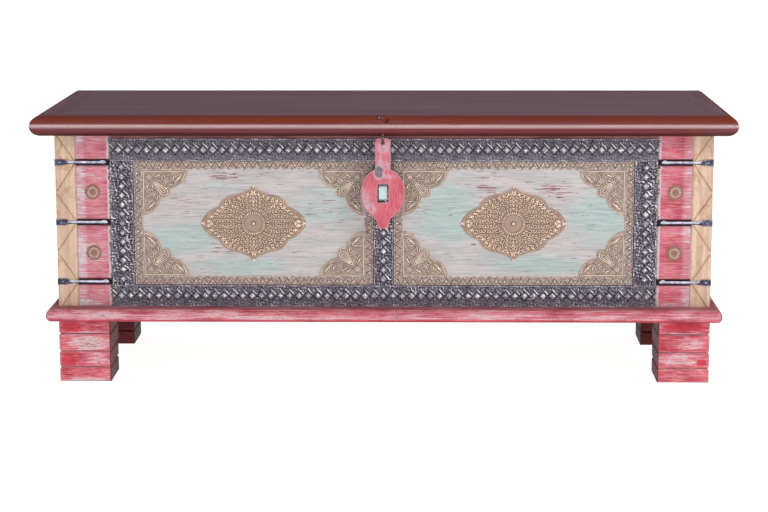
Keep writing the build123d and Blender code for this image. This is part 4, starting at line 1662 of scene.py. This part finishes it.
@dataclass
class Rosettes:
    """The four pressed rosettes between the straps."""

    finish: Finish
    petals: int = 12
    rim_beads: int = 24
    rim_radius: float = 12.0
    rim_bead: Triple = (1.25, 1.25, 1.5)
    disc_share: float = 1.04
    disc_rise: float = 1.3
    petal_ring: float = 7.4
    petal_size: Triple = (2.0, 2.5, 2.4)
    boss: Triple = (2.5, 2.5, 2.6)
    spacing: float = 974.0
    disc_level: float = 0.34
    rim_level: float = 0.5
    petal_level: float = 0.68
    boss_level: float = 0.3

    def tree(self) -> bpy.types.NodeTree:
        """Builds the tree that sets a rosette of petals on each point.

        Returns:
            The node tree.
        """
        group = bpy.data.node_groups.new("rosette", "GeometryNodeTree")
        face = group.interface
        face.new_socket(name="Places", in_out="INPUT", socket_type="NodeSocketGeometry")
        for name in ("Rim radius", "Petal ring"):
            face.new_socket(name=name, in_out="INPUT", socket_type="NodeSocketFloat")
        for name in ("Petal size", "Boss size"):
            face.new_socket(name=name, in_out="INPUT", socket_type="NodeSocketVector")
        face.new_socket(name="Petals", in_out="INPUT", socket_type="NodeSocketInt")
        face.new_socket(name="Rosettes", in_out="OUTPUT", socket_type="NodeSocketGeometry")
        graph = Graph(group)
        given = graph.node("NodeGroupInput")
        rim, ring = given.output("Rim radius"), given.output("Petal ring")
        dome = graph.node("GeometryNodeMeshUVSphere", inputs={"Segments": 14, "Rings": 8, "Radius": 1.0})
        dome = graph.node("GeometryNodeSetShadeSmooth", inputs={0: dome})

        def level(geometry: Signal, value: float) -> Signal:
            """Marks how high a part stands, for its finish."""
            return graph.node("GeometryNodeStoreNamedAttribute", {"data_type": "FLOAT", "domain": "POINT"}, {
                "Geometry": geometry, "Name": RELIEF, "Value": value})

        def ring_of(count: Number, radius: Number, size: Number, value: float) -> Signal:
            """Sets domes round a circle, turned outwards.

            Args:
                count: How many domes.
                radius: The circle's radius.
                size: Half of a dome's width, depth and height.
                value: How high they stand, for the finish.

            Returns:
                The domes.
            """
            circle = graph.node("GeometryNodeMeshCircle", inputs={"Vertices": count, "Radius": radius})
            turn = graph.node("GeometryNodeInputIndex") / count * (2 * math.pi)
            turned = graph.node("ShaderNodeCombineXYZ", inputs={"Z": turn - math.pi / 2})
            domes = graph.node("GeometryNodeInstanceOnPoints", inputs={
                "Points": circle, "Instance": dome, "Rotation": turned, "Scale": size})
            return level(graph.node("GeometryNodeRealizeInstances", inputs={0: domes}), value)

        disc = graph.node("GeometryNodeMeshUVSphere", inputs={"Segments": 32, "Rings": 10, "Radius": 1.0})
        disc = graph.node("GeometryNodeSetShadeSmooth", inputs={0: disc})
        flat = graph.node("ShaderNodeCombineXYZ", inputs={
            "X": rim * self.disc_share, "Y": rim * self.disc_share, "Z": self.disc_rise * MM})
        disc = level(graph.node("GeometryNodeTransform", inputs={"Geometry": disc, "Scale": flat}),
                     self.disc_level)
        wide, deep, tall = self.rim_bead
        bead = graph.node("ShaderNodeCombineXYZ", inputs={"X": wide * MM, "Y": deep * MM, "Z": tall * MM})
        rims = ring_of(self.rim_beads, rim, bead, self.rim_level)
        petals = ring_of(given.output("Petals"), ring, given.output("Petal size"), self.petal_level)
        boss = level(graph.node("GeometryNodeTransform", inputs={
            "Geometry": dome, "Scale": given.output("Boss size")}), self.boss_level)
        joined = graph.node("GeometryNodeJoinGeometry")
        for part in (disc, rims, petals, boss):
            graph.tree.links.new(part.socket, joined.socket.node.inputs[0])
        facing = graph.node("GeometryNodeTransform", inputs={
            "Geometry": joined, "Rotation": (math.radians(90), 0.0, 0.0)})
        placed = graph.node("GeometryNodeInstanceOnPoints", inputs={"Points": given, "Instance": facing})
        solid = graph.node("GeometryNodeRealizeInstances", inputs={0: placed})
        dressed = graph.node("GeometryNodeSetMaterial", inputs={
            "Geometry": solid, "Material": self.finish.material()})
        graph.node("NodeGroupOutput", inputs={0: dressed})
        return group

    def build(self) -> bpy.types.Object:
        """Builds the rosettes where the CAD has them.

        Returns:
            The piece.
        """
        low, high = corners_of("rosettes")
        radius = (high[0] - low[0] - self.spacing) / 2
        places = [(x, high[1], z) for x in (low[0] + radius, high[0] - radius)
                  for z in (low[2] + radius, high[2] - radius)]
        piece = grown("pressed_rosettes", places, self.tree(), {
            "Rim radius": self.rim_radius * MM, "Petal ring": self.petal_ring * MM, "Petals": self.petals,
            "Petal size": [part * MM for part in self.petal_size],
            "Boss size": [part * MM for part in self.boss]}, "case")
        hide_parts("rosettes")
        return piece


@dataclass
class Fixings:
    """The small nails, pins and screws that hold the metalwork."""

    brass: Finish
    steel: Finish
    iron: Finish
    hinge: Finish
    panel_centres: Point = (-217.75, 217.75)
    panel_level: float = 270.75
    pin_size: Triple = (2.7, 2.0, 2.7)
    pin_rise: float = 3.2
    nail_reach: Point = (86.5, 62.5)
    nail_size: Triple = (2.1, 1.5, 2.1)
    nail_rise: float = 1.0
    strap_nail_size: Triple = (1.7, 0.8, 1.7)
    strap_face: float = -191.0
    strap_nails: tuple[float, ...] = (541.0, 467.5)
    hinge_places: tuple[float, ...] = (-380.0, 0.0, 380.0)
    hinge_axis: Point = (194.5, 417.5)
    hinge_back: float = 192.0
    hinge_under: float = 420.3
    case_screws: tuple[Point, ...] = ((-27.0, 31.0), (0.0, 8.5), (27.0, 31.0))
    case_screw_size: Triple = (3.0, 0.6, 3.0)
    lid_screws: tuple[Point, ...] = ((-27.0, 19.0), (0.0, 8.5), (27.0, 19.0))
    lid_screw_size: Triple = (3.0, 3.0, 0.4)

    def _heads(self, name: str, places: list[Triple], size: Triple,
               finish: Finish, body: str = "case") -> None:
        """Sets domed heads on places, with half of a head's width, depth and height as their size."""
        piece = grown(name, places, Heads().tree(finish, name), {"Size": [part * MM for part in size]}, body)

    def build(self) -> None:
        """Builds every group of heads."""
        face = corners_of("medallion_left")[1][1]
        across, up = self.nail_reach
        pins = [(x, face - self.pin_rise, self.panel_level) for x in self.panel_centres]
        nails = [(x + right, face - self.nail_rise, self.panel_level + above) for x in self.panel_centres
                 for right, above in ((across, 0.0), (-across, 0.0), (0.0, up), (0.0, -up))]
        self._heads("medallion_pins", pins, self.pin_size, self.steel)
        self._heads("medallion_nails", nails, self.nail_size, self.brass)
        straps = [(side * x, self.strap_face, z) for side in (-1, 1) for z in STRAP_LEVELS
                  for x in self.strap_nails]
        self._heads("strap_nails", straps, self.strap_nail_size, self.iron)
        axis_y, axis_z = self.hinge_axis
        backs = [(x + right, self.hinge_back, axis_z - down) for x in self.hinge_places
                 for right, down in self.case_screws]
        self._heads("hinge_case_screws", backs, self.case_screw_size, self.hinge)
        unders = [(x + right, axis_y - inward, self.hinge_under) for x in self.hinge_places
                  for right, inward in self.lid_screws]
        self._heads("hinge_lid_screws", unders, self.lid_screw_size, self.hinge, "lid")


# The rest of the chest

@dataclass
class Woodwork:
    """The finishes of the case, the lid and the plain iron, by the start of their nodes' names."""

    finishes: dict[str, Finish]

    def dress(self) -> None:
        """Gives every shown CAD node the finish whose key fits the most of its name.

        Raises:
            ValueError: If a shown node has no finish.
        """
        for name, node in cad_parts.items():
            if node.hide_render:
                continue
            key = max((key for key in self.finishes if name.startswith(key)), key=len)
            self.finishes[key].put_on(node)
            log.info("%s: %s", name, self.finishes[key].name)


@dataclass(frozen=True)
class SoftBox:
    """A soft box that looks at the chest, in metres and watts."""

    name: str
    place: Triple
    size: Point
    power: float
    colour: Colour

    def hang(self, aim: Triple) -> None:
        """Hangs the box so that it faces a place.

        Args:
            aim: The place.
        """
        data = bpy.data.lights.new(self.name, "AREA")
        data.shape = "RECTANGLE"
        data.size, data.size_y = self.size
        data.energy = self.power
        data.color = self.colour
        light = bpy.data.objects.new(self.name, data)
        light.location = self.place
        light.visible_camera = False
        light.rotation_mode = "QUATERNION"
        light.rotation_quaternion = (Vector(aim) - Vector(self.place)).to_track_quat("-Z", "Y")
        bpy.context.scene.collection.objects.link(light)


@dataclass
class Studio:
    """A pale floor, soft light and the camera."""

    boxes: tuple[SoftBox, ...] = (
        SoftBox("key", (2.6, -2.4, 2.6), (1.6, 0.9), 78.0, (1.0, 0.99, 0.98)),
        SoftBox("strip", (0.2, -4.3, 0.95), (4.6, 0.25), 35.0, (1.0, 0.98, 1.0)),
        SoftBox("fill", (-2.6, -3.0, 1.8), (2.4, 2.0), 16.0, (0.96, 0.98, 1.0)),
    )
    aim: Triple = (0.0, 0.0, 0.25)
    surround: float = 0.34
    floor_size: float = 60.0
    floor_glow: float = 0.88
    camera_place: Triple = (0.0741, -3.8141, 0.8561)
    tilt: float = 10.02
    pan: float = -1.156
    roll: float = -0.103
    lens: float = 102.75
    sensor: float = 36.0

    def build(self) -> None:
        """Builds the floor, the lights and the camera."""
        self._floor()
        self._world()
        for box in self.boxes:
            box.hang(self.aim)
        self._camera()

    def _floor(self) -> None:
        """Lays a pale floor."""
        half = self.floor_size / 2
        mesh = bpy.data.meshes.new("floor")
        mesh.from_pydata([(-half, -half, 0), (half, -half, 0), (half, half, 0), (-half, half, 0)], [],
                         [(0, 1, 2, 3)])
        floor = bpy.data.objects.new("floor", mesh)
        bpy.context.scene.collection.objects.link(floor)
        made = bpy.data.materials.new("pale_floor")
        made.use_nodes = True
        graph = Graph(made.node_tree)
        shader = graph.node("ShaderNodeBsdfPrincipled", inputs={
            "Base Color": (0.7, 0.7, 0.7), "Roughness": 0.9, "Specular IOR Level": 0.1,
            "Emission Color": (1.0, 1.0, 1.0), "Emission Strength": self.floor_glow})
        graph.node("ShaderNodeOutputMaterial", inputs={"Surface": shader})
        mesh.materials.append(made)

    def _world(self) -> None:
        """Sets a soft, even surround."""
        world = bpy.data.worlds.new("surround")
        world.use_nodes = True
        graph = Graph(world.node_tree)
        light = graph.node("ShaderNodeBackground", inputs={
            "Color": (1.0, 1.0, 1.0), "Strength": self.surround})
        graph.node("ShaderNodeOutputWorld", inputs={"Surface": light})
        bpy.context.scene.world = world
        bpy.context.scene.view_settings.view_transform = "Standard"

    def _camera(self) -> None:
        """Places the camera."""
        data = bpy.data.cameras.new("camera")
        data.lens = self.lens
        data.sensor_width = self.sensor
        camera = bpy.data.objects.new("camera", data)
        turn = Euler((math.radians(90 - self.tilt), 0.0, math.radians(-self.pan))).to_matrix()
        turn = turn @ Matrix.Rotation(math.radians(self.roll), 3, "Z")
        camera.matrix_world = Matrix.Translation(self.camera_place) @ turn.to_4x4()
        bpy.context.scene.collection.objects.link(camera)
        bpy.context.scene.camera = camera


def red_paint(name: str, grain: Grain, **changes: Any) -> WornPaint:
    """Gives the chest's red paint for one direction of grain.

    Args:
        name: The finish's name.
        grain: The direction of its streaks.
        **changes: What differs from the usual paint.

    Returns:
        The finish.
    """
    usual = {"coat": seen(192, 66, 82), "faded": seen(192, 136, 147), "primer": seen(200, 186, 190),
             "wood": seen(104, 74, 72), "fading": 0.65, "blotches": 0.75}
    return WornPaint(name=name, grain=grain, **{**usual, **changes})


def case_paints() -> dict[str, Finish]:
    """Lists the red paints of the case's frame.

    Returns:
        The finishes, by the start of their nodes' names.
    """
    pale_edges = tuple(Scuff(side * x, 290.0, half_width, 500.0, strength) for side in (-1, 1)
                       for x, half_width, strength in ((458.0, 6.0, 0.2), (510.0, 14.0, 0.09)))
    worn_ends = (Scuff(-484.0, 290.0, 40.0, 300.0, 0.04), Scuff(-497.0, 133.0, 30.0, 12.0, 0.1),
                 Scuff(480.0, 132.0, 26.0, 8.0, 0.1), Scuff(512.0, 130.0, 10.0, 12.0, 0.05))
    across = red_paint("red_paint_streaked_across", Grain.LENGTH)
    pilaster = red_paint("red_paint_pilasters", Grain.LENGTH, scuffs=pale_edges + worn_ends,
                         streak=(26.0, 1.6))
    # a darker copy of the red paint: painted shade under the lid's overhang
    head = red_paint("red_paint_painted_shade_under_lid", Grain.LENGTH, coat=seen(104, 62, 66), faded=seen(136, 98, 100),
                     primer=seen(164, 138, 138), wood=seen(60, 46, 48))
    sides = red_paint("red_paint_streaked_back", Grain.DEPTH)
    return {"front_": across, "front_rail_top": head, "front_stile": head, "pilaster_front": pilaster,
            "pilaster_left": sides, "pilaster_right": sides, "left_": sides, "right_": sides}


def base_paints() -> dict[str, Finish]:
    """Lists the red paints of the feet and the base moulding, which are the most knocked.

    Returns:
        The finishes, by the start of their nodes' names.
    """
    worn_courses = (
        Scuff(-494.0, 66.0, 44.0, 15.0, 0.12), Scuff(-484.0, 38.0, 40.0, 14.0, 0.07),
        Scuff(-505.0, 3.0, 42.0, 4.0, 0.1), Scuff(-505.0, 84.0, 40.0, 4.0, 0.08),
        Scuff(-530.0, 92.0, 22.0, 14.0, -0.1), Scuff(-534.0, 36.0, 16.0, 16.0, -0.1),
        Scuff(514.0, 67.0, 36.0, 13.0, 0.08), Scuff(498.0, 40.0, 46.0, 14.0, 0.11),
        Scuff(500.0, 83.0, 38.0, 3.0, 0.1), Scuff(505.0, 96.0, 44.0, 9.0, -0.12),
        Scuff(536.0, 34.0, 10.0, 8.0, -0.15), Scuff(505.0, 12.0, 44.0, 16.0, 0.04))
    # the feet's faces turned in under the chest have painted shade
    feet = red_paint("red_paint_feet", Grain.LENGTH, wear=0.8, streak=(24.0, 2.2), on_case=False, fading=0.6,
                     coat=seen(198, 58, 74), faded=seen(202, 136, 145), primer=seen(204, 172, 176),
                     wood=seen(140, 92, 92), blotches=0.9, scuffs=worn_courses, grime=seen(62, 28, 32),
                     grimy_inside=462.0)
    # the rear feet are a darker copy of the red paint: painted shade from the chest above them
    shaded_rear_feet = red_paint("red_paint_rear_feet_painted_shade", Grain.LENGTH, coat=seen(74, 10, 16), faded=seen(96, 26, 32),
                          primer=seen(72, 30, 30), wood=seen(40, 20, 18), on_case=False,
                          grime=seen(48, 32, 30), grimy_inside=462.0)
    worn_lengths = (Scuff(0.0, 108.5, 900.0, 4.0, -0.25), Scuff(0.0, 117.0, 1400.0, 5.0, 0.04),
                    Scuff(-490.0, 119.0, 110.0, 8.0, 0.03), Scuff(-300.0, 116.0, 260.0, 6.0, 0.03))
    # painted shade along the moulding's bottom edge; its top face is darker too
    base = red_paint("red_paint_base", Grain.LENGTH, wear=0.95, streak=(60.0, 2.0), on_case=False,
                     coat=seen(186, 62, 80), faded=seen(200, 138, 146), primer=seen(204, 168, 174),
                     wood=seen(128, 90, 88), fading=0.75, blotches=0.8, grime=seen(104, 52, 58),
                     grimy_levels=(107.5, 128.7), scuffs=worn_lengths)
    base_side = replace(base, name="red_paint_base_side", grain=Grain.DEPTH)
    return {"foot": feet, "foot_rear": shaded_rear_feet, "base": base, "base_left": base_side,
            "base_right": base_side}


def panel_washes() -> dict[str, Finish]:
    """Lists the teal washes of the panels.

    Returns:
        The finishes, by the start of their nodes' names.
    """
    front = PanelPaint(
        name="teal_wash", ground=seen(168, 166, 165), teal=seen(150, 176, 172), blush=seen(192, 180, 180),
        beneath=seen(118, 70, 80), dark=seen(84, 74, 80),
        washes=(Scuff(-95.0, 304.0, 76.0, 44.0, 0.26), Scuff(-336.0, 246.0, 74.0, 46.0, 0.26),
                Scuff(-240.0, 200.0, 110.0, 22.0, 0.26), Scuff(-278.0, 335.0, 40.0, 9.0, 0.2),
                Scuff(104.0, 290.0, 74.0, 74.0, 0.3), Scuff(362.0, 280.0, 74.0, 60.0, 0.3),
                Scuff(263.0, 200.0, 120.0, 22.0, 0.28), Scuff(316.0, 352.0, 30.0, 14.0, 0.15)),
        scuffs=(Scuff(-267.0, 353.0, 34.0, 13.0, 0.14), Scuff(-230.0, 352.0, 90.0, 11.0, 0.07),
                Scuff(-336.0, 308.0, 36.0, 18.0, 0.09), Scuff(-272.0, 222.0, 40.0, 11.0, 0.12),
                Scuff(-95.0, 300.0, 40.0, 18.0, 0.08), Scuff(187.0, 350.0, 40.0, 8.0, 0.12),
                Scuff(170.0, 330.0, 34.0, 15.0, 0.12), Scuff(285.0, 330.0, 40.0, 14.0, 0.2),
                Scuff(64.0, 292.0, 32.0, 12.0, 0.08), Scuff(316.0, 316.0, 50.0, 12.0, 0.08),
                Scuff(151.0, 235.0, 7.0, 4.0, 0.3)))
    ends = replace(front, name="teal_wash_ends", scuffs=(), washes=(
        Scuff(541.0, 240.0, 100.0, 70.0, 0.3), Scuff(-541.0, 310.0, 100.0, 60.0, 0.3)))
    return {"front_panel": front, "left_panel": ends, "right_panel": ends}


def woods() -> dict[str, Finish]:
    """Lists the polished and the bare woods.

    Returns:
        The finishes, by the start of their nodes' names.
    """
    post = BareWood(name="bare_post", light=seen(208, 182, 159), dark=seen(187, 157, 137),
                    stain=seen(158, 112, 76), grain=Grain.HEIGHT, stained=0.6)
    plain = BareWood(name="plain_boards", light=seen(150, 108, 78), dark=seen(116, 78, 54),
                     stain=seen(70, 46, 34), grain=Grain.LENGTH)
    # the crown is a painted highlight along the lid's nose
    top = PolishedWood(name="polished_top", dark=seen(110, 74, 88), light=seen(128, 94, 107),
                       rubbed=seen(124, 48, 10), low=seen(100, 32, 18), crown=seen(156, 104, 98),
                       raw=seen(122, 76, 58), nose_x=565.0, nose_y=205.0, shoulder=446.0)
    ends = replace(top, name="polished_ends", grain=Grain.DEPTH)
    return {"corner_post": post, "bottom_board": plain, "back_board": plain, "lid_": top,
            "lid_lipping_left": ends, "lid_lipping_right": ends, "lid_battens": plain}


def irons() -> dict[str, Finish]:
    """Lists the bare and the painted iron.

    Returns:
        The finishes, by the start of their nodes' names.
    """
    # the straps' bars get a painted highlight on top and painted shade below
    forged = ForgedIron(name="forged_iron", scale=seen(58, 56, 72), bare=seen(206, 206, 226),
                        levels=STRAP_LEVELS)
    hinge = ForgedIron(name="dull_hinge", scale=seen(70, 66, 62), bare=seen(150, 146, 140), shine=0.35)
    staple = WornPaint(name="staple_paint", coat=seen(196, 214, 212), faded=seen(176, 200, 200),
                       primer=seen(222, 226, 222), wood=seen(96, 92, 92), grain=Grain.HEIGHT, wear=0.6,
                       streak=(9.0, 1.4), on_case=False)
    hasp = red_paint("hasp_paint", Grain.HEIGHT, coat=seen(194, 78, 90), faded=seen(192, 124, 135),
                     primer=seen(186, 154, 164), wood=seen(124, 106, 120), wear=0.6, fading=0.5,
                     streak=(20.0, 1.5), on_case=False, blotches=0.6,
                     scuffs=(Scuff(-7.0, 361.0, 12.0, 15.0, 0.27), Scuff(-34.0, 318.0, 16.0, 30.0, 0.15),
                             Scuff(-20.0, 300.0, 12.0, 18.0, 0.1), Scuff(2.0, 404.0, 18.0, 16.0, 0.11),
                             Scuff(0.0, 372.0, 18.0, 12.0, 0.07), Scuff(8.0, 354.0, 14.0, 6.0, 0.1)))
    return {"corner_straps": forged, "hasp_ring": forged, "hinge": hinge, "padlock_staple": staple,
            "hasp": hasp}


@dataclass(frozen=True)
class WorkedMetals:
    """The finishes of the embossed sheets, the brass and the nails."""

    iron: Embossed = Embossed(
        name="worked_iron", hollow=seen(22, 18, 28), body=seen(110, 103, 115), crest=seen(238, 232, 238),
        metallic=0.4)
    studs: Embossed = Embossed(
        name="stud_iron", hollow=seen(84, 80, 92), body=seen(160, 156, 168), crest=seen(252, 250, 252),
        metallic=0.4, dullness=0.3, dirty=0.55, mottling=5.0)
    borders: Embossed = Embossed(
        name="border_brass", hollow=seen(92, 76, 70), body=seen(152, 134, 126), crest=seen(222, 204, 194),
        metallic=0.25, dirt=seen(88, 70, 68), mottling=7.0)
    corners: Embossed = Embossed(
        name="corner_brass", hollow=seen(104, 88, 78), body=seen(170, 150, 138), crest=seen(240, 222, 204),
        metallic=0.3, dirt=seen(112, 92, 84), dirty=0.4, mottling=7.0)
    medallions: Embossed = Embossed(
        name="worked_brass", hollow=seen(88, 68, 58), body=seen(160, 136, 123), crest=seen(238, 212, 188),
        metallic=0.3, dirt=seen(112, 88, 82), dirty=0.4, mottling=7.0)
    rosettes: Embossed = Embossed(
        name="rosette_brass", hollow=seen(96, 70, 66), body=seen(146, 112, 102), crest=seen(214, 180, 158),
        metallic=0.3, dirt=seen(92, 66, 62), mottling=5.0)
    # the pin heads are near white: a painted glint
    pins: ForgedIron = ForgedIron(
        name="pin_painted_glint", scale=seen(206, 192, 182), bare=seen(255, 252, 246), shine=0.2, metallic=0.2)


def main() -> None:
    """Builds the metalwork, dresses the wood and iron, and sets up the studio."""
    logging.basicConfig(level=logging.INFO, format="%(name)s: %(message)s")
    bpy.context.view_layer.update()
    metals = WorkedMetals()
    finishes = {**case_paints(), **base_paints(), **panel_washes(), **woods(), **irons()}
    IronSheets(metals.iron, metals.studs).build()
    for side, seed in (("left", 0.4), ("right", 2.9)):
        Border("border_" + side, metals.borders, seed).build()
        Spandrels("spandrels_" + side, metals.corners).build()
        Medallion("medallion_" + side, metals.medallions).build()
    Rosettes(metals.rosettes).build()
    Fixings(metals.medallions, metals.pins, finishes["corner_straps"], finishes["hinge"]).build()
    Woodwork(finishes).dress()
    Studio().build()


if __name__ == "__main__":
    main()
